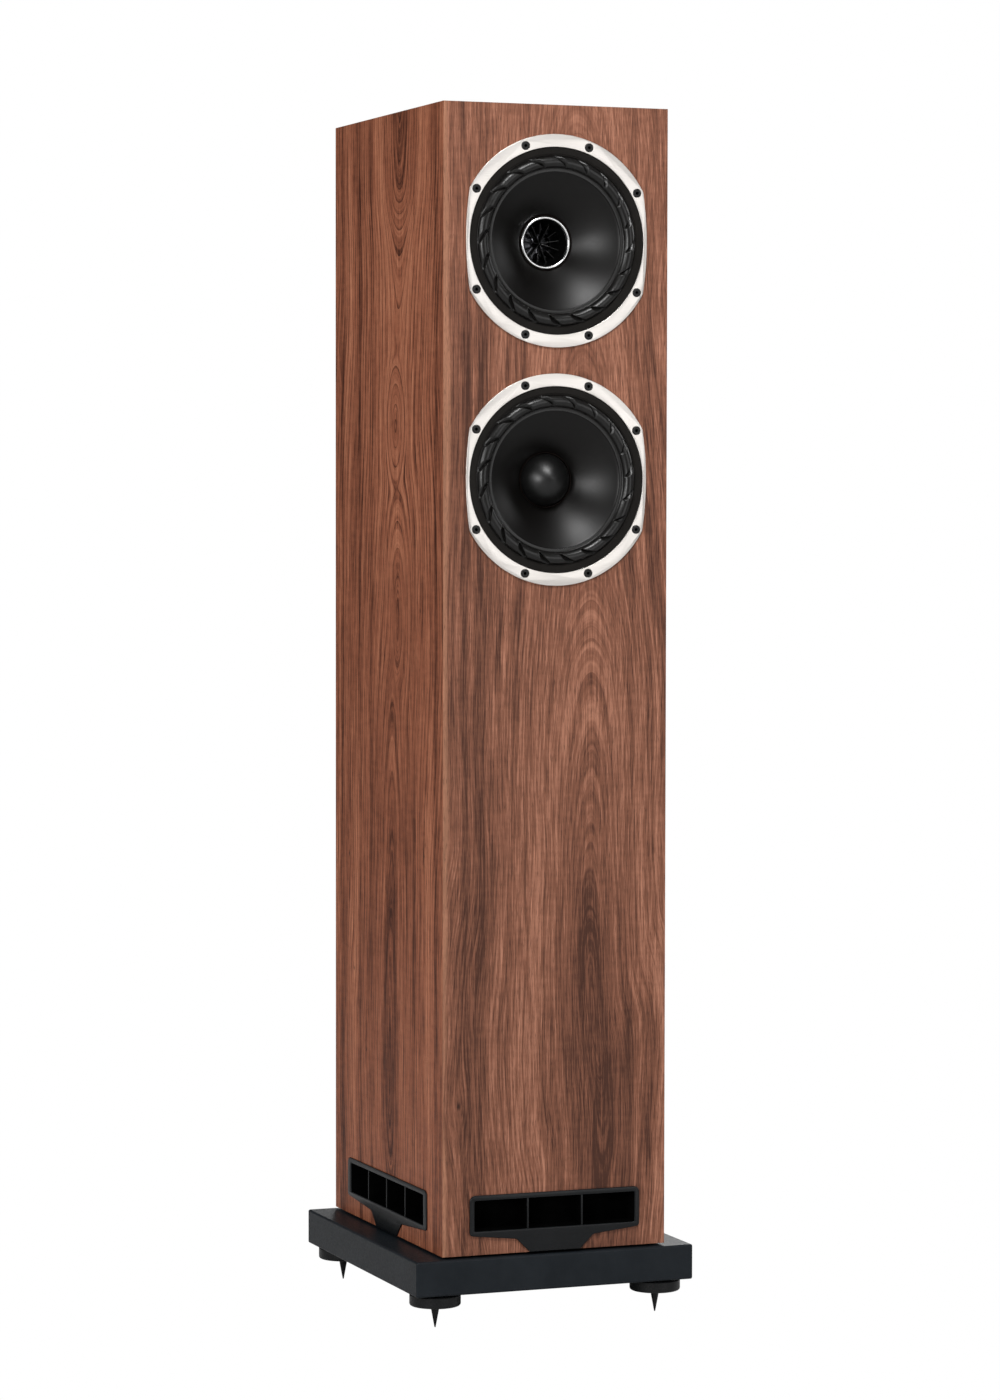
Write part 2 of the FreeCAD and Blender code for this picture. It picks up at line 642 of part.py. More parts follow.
def trim_ring(z):
    ring = driver_outline(0, -TRIM_PROUD, 0, z)
    ring = ring.cut(cylinder_y(TRIM_INNER_RADIUS, FRONT - TRIM_PROUD - 1, FRONT + 1, 0, z))
    ring = bevel(ring, TRIM_EDGE, lambda e: at_y(e, FRONT - TRIM_PROUD))
    seat = FRONT - TRIM_PROUD + SCREW_SEAT_DEPTH
    for x, sz in screw_places(z):
        ring = ring.cut(cylinder_y(SCREW_HEAD_RADIUS + SCREW_SEAT_GAP, FRONT - TRIM_PROUD - 1, seat, x, sz))
        ring = ring.cut(cylinder_y(SCREW_RADIUS, FRONT - TRIM_PROUD - 1, FRONT + 1, x, sz))
    return ring


def driver_screws():
    seat = FRONT - TRIM_PROUD + SCREW_SEAT_DEPTH
    face = seat - SCREW_HEAD_HEIGHT
    screws = []
    for z in (UPPER_Z, LOWER_Z):
        for x, sz in screw_places(z):
            head = cylinder_y(SCREW_HEAD_RADIUS, face, seat, x, sz)
            head = bevel(head, SCREW_HEAD_BEVEL, lambda e: at_y(e, face))
            screw = head.fuse(cylinder_y(SCREW_RADIUS, seat, FRONT + SCREW_LENGTH, x, sz))
            screws.append(screw.cut(hexagon_y(HEX_SOCKET, face - 1, face + HEX_SOCKET_DEPTH, x, sz)))
    save("driver_screws", *screws)


def basket(z):
    """Flange, six-armed bowl, spider ledge and, below, a block for the cable's end."""
    frame = driver_outline(FLANGE_INSET, 0, FLANGE_THICKNESS, z)
    frame = frame.cut(cylinder_y(SURROUND_OUTER + FIT_GAP, FRONT - 1, FRONT + SURROUND_LIP, 0, z))
    throat = BASKET_RADIUS - BASKET_THROAT_WALL
    frame = frame.cut(cylinder_y(throat, FRONT - 1, FRONT + FLANGE_THICKNESS + 1, 0, z))
    for x, sz in screw_places(z):
        frame = frame.cut(cylinder_y(SCREW_RADIUS, FRONT - 1, FRONT + FLANGE_THICKNESS + 1, x, sz))
    ledge_inner = SPIDER_RADIUS - BASKET_LEDGE
    back = BASKET_BACK_RADIUS
    seat = MAGNET_INNER + BASKET_PLATE_OVERLAP
    bowl = lathe_y([
        (throat, FLANGE_THICKNESS - 1), (BASKET_RADIUS, FLANGE_THICKNESS - 1),
        (BASKET_RADIUS - 1, BASKET_WINDOW_START - 1), (back, SPIDER_DEPTH + 4), (back, PLATE_DEPTH),
        (seat, PLATE_DEPTH), (seat, PLATE_DEPTH - 3), (ledge_inner, PLATE_DEPTH - 4),
        (ledge_inner, SPIDER_DEPTH), (LEDGE_OUTER, SPIDER_DEPTH), (throat, FLANGE_THICKNESS + 3)], 0, z)
    near, far = ledge_inner - 8, BASKET_RADIUS + 16
    low, high = BASKET_WINDOW_START, SPIDER_DEPTH - 4
    windows = lathe_y([(near, low), (far, low), (far, high), (near, high)], 0, z)
    half_arm = BASKET_ARM_WIDTH / 2
    for i in range(BASKET_WINDOWS // 2):
        arm = box(-half_arm, half_arm, FRONT, FRONT + PLATE_DEPTH, z - far, z + far)
        arm.rotate(V(0, 0, z), V(0, 1, 0), i * 360.0 / BASKET_WINDOWS)
        windows = windows.cut(arm)
    half = TERMINAL_BLOCK_WIDTH / 2
    block = box(-half, half, FRONT + SPIDER_DEPTH + 1, FRONT + PLATE_DEPTH,
                z - BLOCK_REACH, z - back + TERMINAL_BLOCK_SINK)
    return frame.fuse(bowl.cut(windows)).fuse(block).removeSplitter()


def surround(z):
    """Half-roll suspension with a flat lip on the cone's edge and one in the basket's ledge."""
    mid = (ROLL_INNER + ROLL_OUTER) / 2
    outer_arc = ((mid, -ROLL_HEIGHT), (ROLL_OUTER, 0))
    inner_arc = ((mid, ROLL_WALL - ROLL_HEIGHT), (ROLL_INNER + ROLL_WALL, SURROUND_LIP))
    return lathe_y([
        (CONE_EDGE, 0), (ROLL_INNER, 0), outer_arc, (SURROUND_OUTER, 0),
        (SURROUND_OUTER, SURROUND_LIP), (ROLL_OUTER - ROLL_WALL, SURROUND_LIP), inner_arc,
        (CONE_EDGE, SURROUND_LIP)], 0, z)


def gasket_ring(z):
    outer = TRIM_INNER_RADIUS - GASKET_GAP
    return lathe_y([
        (GASKET_INNER, 0), (GASKET_INNER, -GASKET_HEIGHT / 2), (GASKET_STEP, -GASKET_HEIGHT / 2),
        (GASKET_STEP, -GASKET_HEIGHT), (outer, -GASKET_HEIGHT), (outer, 0)], 0, z)


def cone(z):
    """A flared cone, shallow at its edge and steep at its neck, with a flat rim."""
    rim = SURROUND_LIP
    neck = FORMER_OUTER
    mid_r = (CONE_EDGE + neck) / 2
    mid_d = rim + (CONE_DEPTH - rim) * CONE_SAG
    wall = CONE_WALL
    rim_r = ROLL_INNER + ROLL_WALL - CONE_RIM_GAP
    back_arc = ((mid_r + wall * 0.5, mid_d + wall * 0.9), (CONE_EDGE + wall * 0.4, rim + wall))
    return lathe_y([
        (CONE_EDGE, rim), ((mid_r, mid_d), (neck, CONE_DEPTH)), (neck, CONE_DEPTH + CONE_NECK_LENGTH),
        back_arc, (rim_r, rim + wall), (rim_r, rim)], 0, z)


def voice_coil(z):
    low = COIL_MIDDLE - COIL_LENGTH / 2
    high = COIL_MIDDLE + COIL_LENGTH / 2
    former = tube_y(FORMER_OUTER, FORMER_INNER, CONE_DEPTH - FORMER_OVERHANG, high + FORMER_OVERHANG, z)
    winding = tube_y(COIL_OUTER, FORMER_OUTER, low, high, z)
    return former, winding


def spider(z):
    """A corrugated disc from the former to the basket's ledge."""
    inner = FORMER_OUTER
    flat_in = inner + SPIDER_FLAT_INNER
    flat_out = SPIDER_RADIUS - SPIDER_FLAT_OUTER
    base = SPIDER_DEPTH - SPIDER_WALL
    folds = 2 * SPIDER_ROLLS
    span = (flat_out - flat_in) / folds
    front = [(inner, base), (flat_in, base)]
    for i in range(1, folds):
        front.append((flat_in + span * i, base - (SPIDER_ROLL_HEIGHT if i % 2 else 0)))
    front += [(flat_out, base), (SPIDER_RADIUS, base)]
    back = [(r, d + SPIDER_WALL) for r, d in reversed(front)]
    return lathe_y(front + back, 0, z)


def motor(z, pole_bore, bore_end):
    """Front plate round the coil, and a T-shaped yoke: the back plate with its pole."""
    front_plate = tube_y(PLATE_RADIUS, GAP_OUTER, PLATE_DEPTH, PLATE_DEPTH + PLATE_THICKNESS, z)
    end = BACK_PLATE_DEPTH + BACK_PLATE_THICKNESS
    yoke = lathe_y([
        (0, bore_end), (pole_bore, bore_end), (pole_bore, PLATE_DEPTH), (POLE_RADIUS, PLATE_DEPTH),
        (POLE_RADIUS, BACK_PLATE_DEPTH), (PLATE_RADIUS, BACK_PLATE_DEPTH), (PLATE_RADIUS, end),
        (0, end)], 0, z)
    return front_plate, yoke


def driver(name, z, pole_bore, bore_end):
    save(name + "_trim_ring", trim_ring(z))
    save(name + "_basket", basket(z))
    save(name + "_gasket_ring", gasket_ring(z))
    save(name + "_surround", surround(z))
    save(name + "_cone", cone(z))
    save(name + "_voice_coil", *voice_coil(z))
    save(name + "_spider", spider(z))
    save(name + "_magnet", tube_y(MAGNET_RADIUS, MAGNET_INNER, MAGNET_DEPTH, BACK_PLATE_DEPTH, z))
    save(name + "_pole_and_plates", *motor(z, pole_bore, bore_end))


def cap_middle(radius, height):
    """Radius and depth of the point halfway from the top to the edge of a round cap."""
    sphere = (radius * radius + height * height) / (2 * height)
    half = math.asin(radius / sphere) / 2
    return sphere * math.sin(half), sphere * (1 - math.cos(half))


def tweeter_ring(z, ring_end):
    lip = (POLE_RADIUS - TWEETER_RING_BORE) / 2
    lip_end = TWEETER_RING_DEPTH + lip
    rounding = ((TWEETER_RING_BORE + lip, TWEETER_RING_DEPTH), (POLE_RADIUS, lip_end))
    return lathe_y([
        (TWEETER_RING_BORE, ring_end), (TWEETER_RING_BORE, lip_end), rounding,
        (POLE_RADIUS, ring_end)], 0, z)


def tweeter_waveguide(z, ring_end):
    """The throat's wall with its fins, and a small cone where the long fins meet."""
    mid_r = (TWEETER_RING_BORE + THROAT_RADIUS) / 2 - 0.6
    mid_d = (ring_end + THROAT_DEPTH) / 2
    wall = lathe_y([
        (POLE_RADIUS, ring_end), (POLE_RADIUS, PLATE_DEPTH), (THROAT_RADIUS, PLATE_DEPTH),
        (THROAT_RADIUS, THROAT_DEPTH), ((mid_r, mid_d), (TWEETER_RING_BORE, ring_end))], 0, z)
    past_wall = TWEETER_RING_BORE + 1
    fin_space = lathe_y([
        (0, FIN_FRONT_DEPTH + FIN_SWEEP), (past_wall, FIN_FRONT_DEPTH),
        (past_wall, THROAT_DEPTH), (0, THROAT_DEPTH)], 0, z)
    hub = lathe_y([
        (0, HUB_TIP_DEPTH - HUB_TIP_LENGTH), (HUB_RADIUS, HUB_TIP_DEPTH),
        (HUB_RADIUS, THROAT_DEPTH), (0, THROAT_DEPTH)], 0, z)
    half = FIN_THICKNESS / 2
    fins = []
    for i in range(WAVEGUIDE_FINS):
        start = SHORT_FIN_START if i % 2 else HUB_RADIUS / 2
        fin = box(start, TWEETER_RING_BORE + FIN_ROOT, FRONT + FIN_FRONT_DEPTH, FRONT + THROAT_DEPTH,
                  z - half, z + half)
        fin.rotate(V(0, 0, z), V(0, 1, 0), FIRST_FIN_ANGLE + i * 360.0 / WAVEGUIDE_FINS)
        fins.append(fin.common(fin_space))
    return wall.multiFuse(fins + [hub])


def tweeter(z):
    ring_end = TWEETER_RING_DEPTH + TWEETER_RING_LENGTH
    save("tweeter_ring", tweeter_ring(z, ring_end))
    save("tweeter_waveguide", tweeter_waveguide(z, ring_end))

    edge = DOME_EDGE_DEPTH
    skirt = DOME_RADIUS + DOME_WALL
    skirt_end = edge + DOME_SKIRT_LENGTH
    crown = edge - DOME_HEIGHT
    out_r, out_d = cap_middle(skirt, DOME_HEIGHT)
    in_r, in_d = cap_middle(DOME_RADIUS, DOME_HEIGHT)
    inner_cap = ((in_r, crown + in_d + DOME_WALL), (0, crown + DOME_WALL))
    dome = lathe_y([
        (0, crown), ((out_r, crown + out_d), (skirt, edge)), (skirt, skirt_end),
        (DOME_RADIUS, skirt_end), (DOME_RADIUS, edge + DOME_WALL), inner_cap], 0, z)
    save("tweeter_dome", dome)

    roll_end = skirt + TWEETER_ROLL_WIDTH
    roll_mid = skirt + 1.6
    roll_top = edge - TWEETER_ROLL_HEIGHT
    save("tweeter_suspension", lathe_y([
        (skirt, edge), ((roll_mid, roll_top), (roll_end, edge)), (TWEETER_MOTOR_RADIUS, edge),
        (TWEETER_MOTOR_RADIUS, edge + DOME_WALL), (roll_end, edge + DOME_WALL),
        ((roll_mid, roll_top + DOME_WALL), (skirt, edge + DOME_WALL))], 0, z))

    gap_in = DOME_RADIUS - TWEETER_GAP_CLEARANCE
    gap_out = skirt + TWEETER_GAP_CLEARANCE
    front = TWEETER_MOTOR_DEPTH
    pole = front + TWEETER_POLE_SET_BACK
    end = front + TWEETER_MOTOR_LENGTH
    floor = front + DOME_SKIRT_LENGTH + SKIRT_END_GAP
    save("tweeter_motor", lathe_y([
        (0, pole), (gap_in, pole), (gap_in, floor), (gap_out, floor), (gap_out, front),
        (TWEETER_MOTOR_RADIUS, front), (TWEETER_MOTOR_RADIUS, end), (0, end)], 0, z))


def phase_plug(z):
    tip = PLUG_TIP_DEPTH
    shoulder = PLUG_SHOULDER_DEPTH
    out, along = PLUG_BELLY
    belly = (POLE_RADIUS * out, tip + (shoulder - tip) * along)
    save("phase_plug", lathe_y([
        (0, tip), (belly, (POLE_RADIUS, shoulder)), (POLE_RADIUS, PLATE_DEPTH), (0, PLATE_DEPTH)], 0, z))


# Terminals

def cup_screw_places():
    x = (CUP_WIDTH + RECESS_WIDTH) / 4 + CUP_WALL / 2
    z = (CUP_TALL + RECESS_TALL) / 4 + CUP_WALL / 2
    return [(sx * x, CUP_Z + sz * z) for sx in (-1, 1) for sz in (-1, 1)]


def post_places():
    return {"black": -POST_SPACING / 2, "red": POST_SPACING / 2}


def terminals():
    plate = rounded_box_y(CUP_WIDTH, CUP_TALL, CUP_CORNER, BACK, BACK + CUP_PLATE, CUP_Z)
    plate = bevel(plate, VENT_BEVEL, lambda e: at_y(e, BACK + CUP_PLATE))
    well_w = RECESS_WIDTH + 2 * CUP_WALL
    well_h = RECESS_TALL + 2 * CUP_WALL
    face = BACK + CUP_PLATE
    well = rounded_box_y(well_w, well_h, CUP_CORNER, CUP_INNER_FACE, BACK + CUP_PLATE / 2, CUP_Z)
    hollow_corner = CUP_CORNER - CUP_WALL
    hollow = rounded_box_y(RECESS_WIDTH, RECESS_TALL, hollow_corner, RECESS_FLOOR, face + 1, CUP_Z)
    cup = plate.fuse(well).cut(hollow)
    for x in post_places().values():
        cup = cup.cut(cylinder_y(POST_RADIUS, CUP_INNER_FACE - 1, RECESS_FLOOR + 1, x, CUP_Z))
    screws = []
    for x, z in cup_screw_places():
        cup = cup.cut(cylinder_y(CUP_SCREW_RADIUS, BACK - 1, face + 1, x, z))
        head = cylinder_y(CUP_SCREW_HEAD, face, face + CUP_SCREW_HEAD_HEIGHT, x, z)
        screw = head.fuse(cylinder_y(CUP_SCREW_RADIUS, BACK - CUP_SCREW_LENGTH, face, x, z))
        screws.append(screw.cut(hexagon_y(CUP_SCREW_KEY, face + CUP_SCREW_KEY_FLOOR, face + 2, x, z)))
    save("terminal_cup", cup.removeSplitter())
    save("terminal_cup_screws", *screws)

    posts = []
    for colour, x in post_places().items():
        post = cylinder_y(POST_RADIUS, BOARD_FRONT - NUT_HEIGHT - 1, POST_END, x, CUP_Z)
        post = post.fuse(cylinder_y(POST_COLLAR_RADIUS, RECESS_FLOOR, COLLAR_FACE, x, CUP_Z))
        post = post.fuse(cylinder_y(NUT_RADIUS, BOARD_BACK, CUP_INNER_FACE, x, CUP_Z))
        post = post.fuse(cylinder_y(NUT_RADIUS, BOARD_FRONT - NUT_HEIGHT, BOARD_FRONT, x, CUP_Z))
        socket_floor = POST_END - POST_SOCKET_DEPTH
        post = post.cut(cylinder_y(POST_SOCKET_RADIUS, socket_floor, POST_END + 1, x, CUP_Z))
        posts.append(post)
        bore = POST_RADIUS + KNOB_THREAD_CLEARANCE
        washer = cylinder_y(CLAMP_WASHER_RADIUS, COLLAR_FACE, WASHER_FACE, x, CUP_Z)
        washer = washer.cut(cylinder_y(bore, COLLAR_FACE - 1, WASHER_FACE + 1, x, CUP_Z))
        save("clamp_washer_" + colour, washer)
        knob = cylinder_y(KNOB_RADIUS, WASHER_FACE, POST_END, x, CUP_Z)
        knob = bevel(knob, KNOB_BEVEL, lambda e: at_y(e, POST_END))
        save("terminal_knob_" + colour, knob.cut(cylinder_y(bore, WASHER_FACE - 1, POST_END + 1, x, CUP_Z)))
    save("binding_posts", *posts)


# Crossover, cables and wadding

def crossover():
    low = CUP_Z - BOARD_TALL / 2
    high = CUP_Z + BOARD_TALL / 2
    half = BOARD_WIDTH / 2
    board = box(-half, half, BOARD_FRONT, BOARD_BACK, low, high)
    for x in post_places().values():
        board = board.cut(cylinder_y(POST_RADIUS, BOARD_FRONT - 1, BOARD_BACK + 1, x, CUP_Z))
    save("crossover_board", board)

    parts = []
    coil_x = half - INDUCTOR_RADIUS - PART_SPACING
    coil_z = high - INDUCTOR_RADIUS - PART_SPACING
    coil_top = BOARD_FRONT - INDUCTOR_LENGTH
    for side in (-1, 1):
        coil = cylinder_y(INDUCTOR_RADIUS, coil_top, BOARD_FRONT, side * coil_x, coil_z)
        bore = cylinder_y(INDUCTOR_BORE, coil_top - 1, BOARD_FRONT + 1, side * coil_x, coil_z)
        parts.append(coil.cut(bore))
    first_row = low + CAPACITOR_RADIUS + PART_SPACING
    row_pitch = 2 * CAPACITOR_RADIUS + PART_SPACING
    for row, side in ((0, -1), (0, 1), (1, -1)):
        z = first_row + row * row_pitch
        x = side * (CAPACITOR_LENGTH / 2 + CAPACITOR_MIDDLE_GAP) - CAPACITOR_LENGTH / 2
        y = BOARD_FRONT - CAPACITOR_RADIUS
        parts.append(Part.makeCylinder(CAPACITOR_RADIUS, CAPACITOR_LENGTH, V(x, y, z), V(1, 0, 0)))
    z = first_row + row_pitch - RESISTOR_SIZE / 2
    end = RESISTOR_START + CAPACITOR_LENGTH
    parts.append(box(RESISTOR_START, end, BOARD_FRONT - RESISTOR_SIZE, BOARD_FRONT, z, z + RESISTOR_SIZE))
    save("crossover_parts", *parts)


def bent_tube(points, radius):
    """A round cable along points, straight between them, with a tangent arc at each turn."""
    runs = [(points[i + 1] - points[i]).Length for i in range(len(points) - 1)]
    edges = []
    last = points[0]
    for i in range(1, len(points) - 1):
        here = points[i]
        before = (points[i - 1] - here).normalize()
        after = (points[i + 1] - here).normalize()
        half = before.getAngle(after) / 2
        reach = 0.45 * min(runs[i - 1], runs[i])
        bend = reach * math.tan(half)
        start = here + before * reach
        end = here + after * reach
        inward = (before + after).normalize()
        middle = here + inward * (bend / math.sin(half) - bend)
        edges.append(Part.LineSegment(last, start).toShape())
        edges.append(Part.Arc(start, middle, end).toShape())
        last = end
    edges.append(Part.LineSegment(last, points[-1]).toShape())
    path = Part.Wire(edges)
    ring = Part.Wire(Part.makeCircle(radius, points[0], (points[1] - points[0]).normalize()))
    return path.makePipeShell([ring], True, False)


def cables():
    """One jacketed cable from the board's top corner to each driver's terminal block."""
    start_z = CUP_Z + BOARD_TALL / 2 - 2 * INDUCTOR_RADIUS - PART_SPACING - 2 * CABLE_RADIUS
    start_x = BOARD_WIDTH / 2 - CABLE_BOARD_EDGE
    side = INNER_W - CABLE_WALL_GAP
    block = FRONT + PLATE_DEPTH
    below = BLOCK_REACH - TERMINAL_BLOCK_HEIGHT / 2
    out = BOARD_FRONT - CABLE_LEAD_OUT
    wall = INNER_D - WADDING_THICKNESS
    window = BRACE_WINDOW_GAP / 2 + CABLE_WINDOW_SIDE
    upper_end = UPPER_Z - below
    lower_end = LOWER_Z - below
    upper_run = [V(side, wall - 12, LOWER_Z + 40), V(window + 14, 40, LOWER_Z + 85),
                 V(window, 16, upper_end - 20)]
    lower_run = [V(-side, wall - 30, lower_end - 90)]
    tubes = []
    for sign, run, end_z in ((1, upper_run, upper_end), (-1, lower_run, lower_end)):
        points = [V(sign * start_x, BOARD_FRONT, start_z), V(sign * start_x, out, start_z),
                  V(sign * side, out + CABLE_LEAD_SLOPE, start_z + CABLE_FIRST_RISE)]
        points += run + [V(0, block + 40, end_z), V(0, block, end_z)]
        tubes.append(bent_tube(points, CABLE_RADIUS))
    save("internal_cables", *tubes)


def wadding():
    half = INNER_W - WADDING_SIDE_GAP
    high = BRACE_BOTTOM - WADDING_END_GAP
    pad = box(-half, half, INNER_D - WADDING_THICKNESS, INNER_D, high - WADDING_HEIGHT, high)
    save("wadding", pad)


def build():
    cabinet()
    brace()
    vents()
    port()
    plinth()
    feet()
    driver_screws()
    driver("upper", UPPER_Z, TWEETER_MOTOR_RADIUS, TWEETER_MOTOR_DEPTH + TWEETER_MOTOR_LENGTH)
    tweeter(UPPER_Z)
    driver("lower", LOWER_Z, POLE_VENT_RADIUS, PLATE_DEPTH + PLUG_SEAT)
    phase_plug(LOWER_Z)
    terminals()
    crossover()
    cables()
    wadding()
    for name, shape in ALL_NODES:
        if not shape.isValid() or any(s.Volume <= 0 for s in shape.Solids) or not shape.Solids:
            print("BAD", name, shape.isValid(), [s.Volume for s in shape.Solids])
    print(len(ALL_NODES), "nodes")


build()
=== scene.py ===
import math

import bpy
from mathutils import Matrix, Vector


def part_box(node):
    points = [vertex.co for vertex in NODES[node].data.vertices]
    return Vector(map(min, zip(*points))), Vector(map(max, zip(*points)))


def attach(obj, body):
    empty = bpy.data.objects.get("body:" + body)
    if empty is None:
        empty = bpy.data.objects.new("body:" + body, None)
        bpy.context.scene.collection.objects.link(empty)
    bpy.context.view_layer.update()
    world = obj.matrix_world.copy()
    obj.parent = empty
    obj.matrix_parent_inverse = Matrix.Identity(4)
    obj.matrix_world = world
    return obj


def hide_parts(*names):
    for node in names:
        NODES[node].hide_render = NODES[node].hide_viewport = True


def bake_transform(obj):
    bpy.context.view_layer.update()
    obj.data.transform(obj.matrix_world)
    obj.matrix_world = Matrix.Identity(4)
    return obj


# A floorstanding loudspeaker in walnut veneer. Sizes are in millimetres, places come from the frame,
# and depths into a driver are counted from the baffle's face.
MM = 0.001

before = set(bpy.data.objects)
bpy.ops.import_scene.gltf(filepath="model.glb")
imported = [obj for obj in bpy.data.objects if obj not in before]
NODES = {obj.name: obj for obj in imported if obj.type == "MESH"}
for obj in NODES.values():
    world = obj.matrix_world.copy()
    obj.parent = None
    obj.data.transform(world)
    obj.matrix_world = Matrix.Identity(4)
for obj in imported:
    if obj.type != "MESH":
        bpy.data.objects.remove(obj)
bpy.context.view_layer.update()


def middle(node):
    low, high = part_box(node)
    return (low + high) / 2


CABINET_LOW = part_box("side_panel_left")[0]
CABINET_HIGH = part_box("side_panel_right")[1]
BASE = CABINET_LOW.z
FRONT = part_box("front_baffle")[0].y
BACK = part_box("back_panel")[1].y
SHELF_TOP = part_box("vent_chamber_shelf")[1].z
DRIVERS = {"upper": middle("upper_cone").z, "lower": middle("lower_cone").z}
CORNERS = ("front_left", "front_right", "back_left", "back_right")


# ---------------------------------------------------------------- modelling

def deselect():
    bpy.ops.object.select_all(action="DESELECT")


def select_only(piece):
    deselect()
    piece.select_set(True)
    bpy.context.view_layer.objects.active = piece


def edit(piece, mode="VERT"):
    select_only(piece)
    bpy.ops.object.mode_set(mode="EDIT")
    bpy.ops.mesh.select_mode(type=mode)


def take_all():
    bpy.ops.mesh.select_all(action="SELECT")


def done():
    bpy.ops.object.mode_set(mode="OBJECT")
    return bpy.context.object


def named(piece, name):
    piece.name = name
    piece.data.name = name
    return piece


def settled(name):
    """Names the primitive just added, and moves its place and size into its mesh."""
    piece = named(bpy.context.object, name)
    bpy.ops.object.transform_apply(location=True, rotation=True, scale=True)
    return piece


def start(name, point):
    """A new piece that holds one vertex, left in edit mode with that vertex selected."""
    deselect()
    bpy.ops.mesh.primitive_plane_add(size=MM, location=point)
    piece = settled(name)
    edit(piece)
    take_all()
    bpy.ops.mesh.merge(type="CENTER")
    return piece


def draw(points):
    """Extrudes the selected vertex from point to point."""
    for here, there in zip(points, points[1:]):
        step = Vector(there) - Vector(here)
        bpy.ops.mesh.extrude_region_move(TRANSFORM_OT_translate={"value": step})


def closed_up(piece, gap=1e-6):
    take_all()
    bpy.ops.mesh.remove_doubles(threshold=gap)
    bpy.ops.mesh.normals_make_consistent(inside=False)
    return done()


def modify(piece, kind, **settings):
    select_only(piece)
    modifier = piece.modifiers.new(kind.lower(), kind)
    for key, value in settings.items():
        setattr(modifier, key, value)
    bpy.ops.object.modifier_apply(modifier=modifier.name)
    return piece


def bevelled(piece, width, segments=2, angle=35):
    return modify(piece, "BEVEL", width=width * MM, segments=segments, limit_method="ANGLE",
                  angle_limit=math.radians(angle), harden_normals=False)


def cut(piece, *tools, operation="DIFFERENCE"):
    for tool in tools:
        modify(piece, "BOOLEAN", operation=operation, solver="EXACT", object=tool)
        bpy.data.objects.remove(tool)
    return piece


def joined(name, *pieces):
    deselect()
    for piece in pieces:
        piece.select_set(True)
    bpy.context.view_layer.objects.active = pieces[0]
    bpy.ops.object.join()
    return named(pieces[0], name)


def copied(piece, name):
    twin = piece.copy()
    twin.data = piece.data.copy()
    bpy.context.scene.collection.objects.link(twin)
    return named(twin, name)


def moved(piece, matrix):
    piece.data.transform(matrix)
    return piece


def turned_about(point, axis, degrees):
    shift = Matrix.Translation(point)
    return shift @ Matrix.Rotation(math.radians(degrees), 4, axis) @ shift.inverted()


def arc(first, through, last, count):
    """Points after the first on the circular arc through three points of a profile."""
    ax, ay = first
    bx, by = through
    cx, cy = last
    twice = 2 * (ax * (by - cy) + bx * (cy - ay) + cx * (ay - by))
    a2, b2, c2 = ax * ax + ay * ay, bx * bx + by * by, cx * cx + cy * cy
    ox = (a2 * (by - cy) + b2 * (cy - ay) + c2 * (ay - by)) / twice
    oy = (a2 * (cx - bx) + b2 * (ax - cx) + c2 * (bx - ax)) / twice
    radius = math.hypot(ax - ox, ay - oy)
    begin = math.atan2(ay - oy, ax - ox)
    mid = math.atan2(by - oy, bx - ox)
    end = math.atan2(cy - oy, cx - ox)
    sweep = (end - begin) % (2 * math.pi)
    if (mid - begin) % (2 * math.pi) > sweep:
        sweep -= 2 * math.pi
    angles = [begin + sweep * i / count for i in range(1, count + 1)]
    return [(ox + radius * math.cos(a), oy + radius * math.sin(a)) for a in angles]


def profile(*items, arc_steps=8):
    """Points of a profile. An item is a point, or a pair of points for an arc from the last point."""
    points = [items[0]]
    for item in items[1:]:
        if isinstance(item[0], tuple):
            points += arc(points[-1], item[0], item[1], arc_steps)
        else:
            points.append(item)
    return points


def spun(name, loop, centre, steps, degrees):
    """Spins a line through points about an axis along Y, and leaves the piece in edit mode."""
    piece = start(name, loop[0])
    draw(loop)
    take_all()
    bpy.ops.mesh.spin(steps=steps, angle=math.radians(degrees), center=centre, axis=(0, 1, 0))
    return piece


def section(points, centre):
    """Places (radius, depth) points in millimetres to the right of an axis along Y."""
    return [Vector((centre[0] + radius * MM, centre[1] + deep * MM, centre[2])) for radius, deep in points]


def lathe(name, points, centre, steps=144):
    """Turns a closed profile of (radius, depth) points round a driver's axis."""
    loop = section(points, centre)
    if points[0][0] > 0 or points[-1][0] > 0:
        loop.append(loop[0])
    return closed_up(spun(name, loop, centre, steps, 360))


def plate(name, points, y0, y1):
    """A flat plate from y0 to y1, whose outline passes through (x, z) points in millimetres."""
    loop = [Vector((x * MM, y0, z * MM)) for x, z in points]
    piece = start(name, loop[0])
    draw(loop)
    take_all()
    bpy.ops.mesh.edge_face_add()
    take_all()
    bpy.ops.mesh.extrude_region_move(TRANSFORM_OT_translate={"value": (0, y1 - y0, 0)})
    return closed_up(piece, 1e-7)


def block(name, low, high):
    low, high = Vector(low), Vector(high)
    deselect()
    bpy.ops.mesh.primitive_cube_add(size=1, location=(low + high) / 2, scale=high - low)
    return settled(name)


def rod(name, radius, y0, y1, x, z, sides=32):
    """A cylinder along Y."""
    deselect()
    bpy.ops.mesh.primitive_cylinder_add(vertices=sides, radius=radius * MM, depth=abs(y1 - y0),
                                        location=(x, (y0 + y1) / 2, z), rotation=(math.pi / 2, 0, 0))
    return settled(name)


def dressed(piece, finish, smooth):
    """Gives a piece its one material, and smooths every edge flatter than an angle in degrees."""
    piece.data.materials.clear()
    piece.data.materials.append(finish)
    for polygon in piece.data.polygons:
        polygon.material_index = 0
    select_only(piece)
    bpy.ops.object.shade_smooth_by_angle(angle=math.radians(smooth))


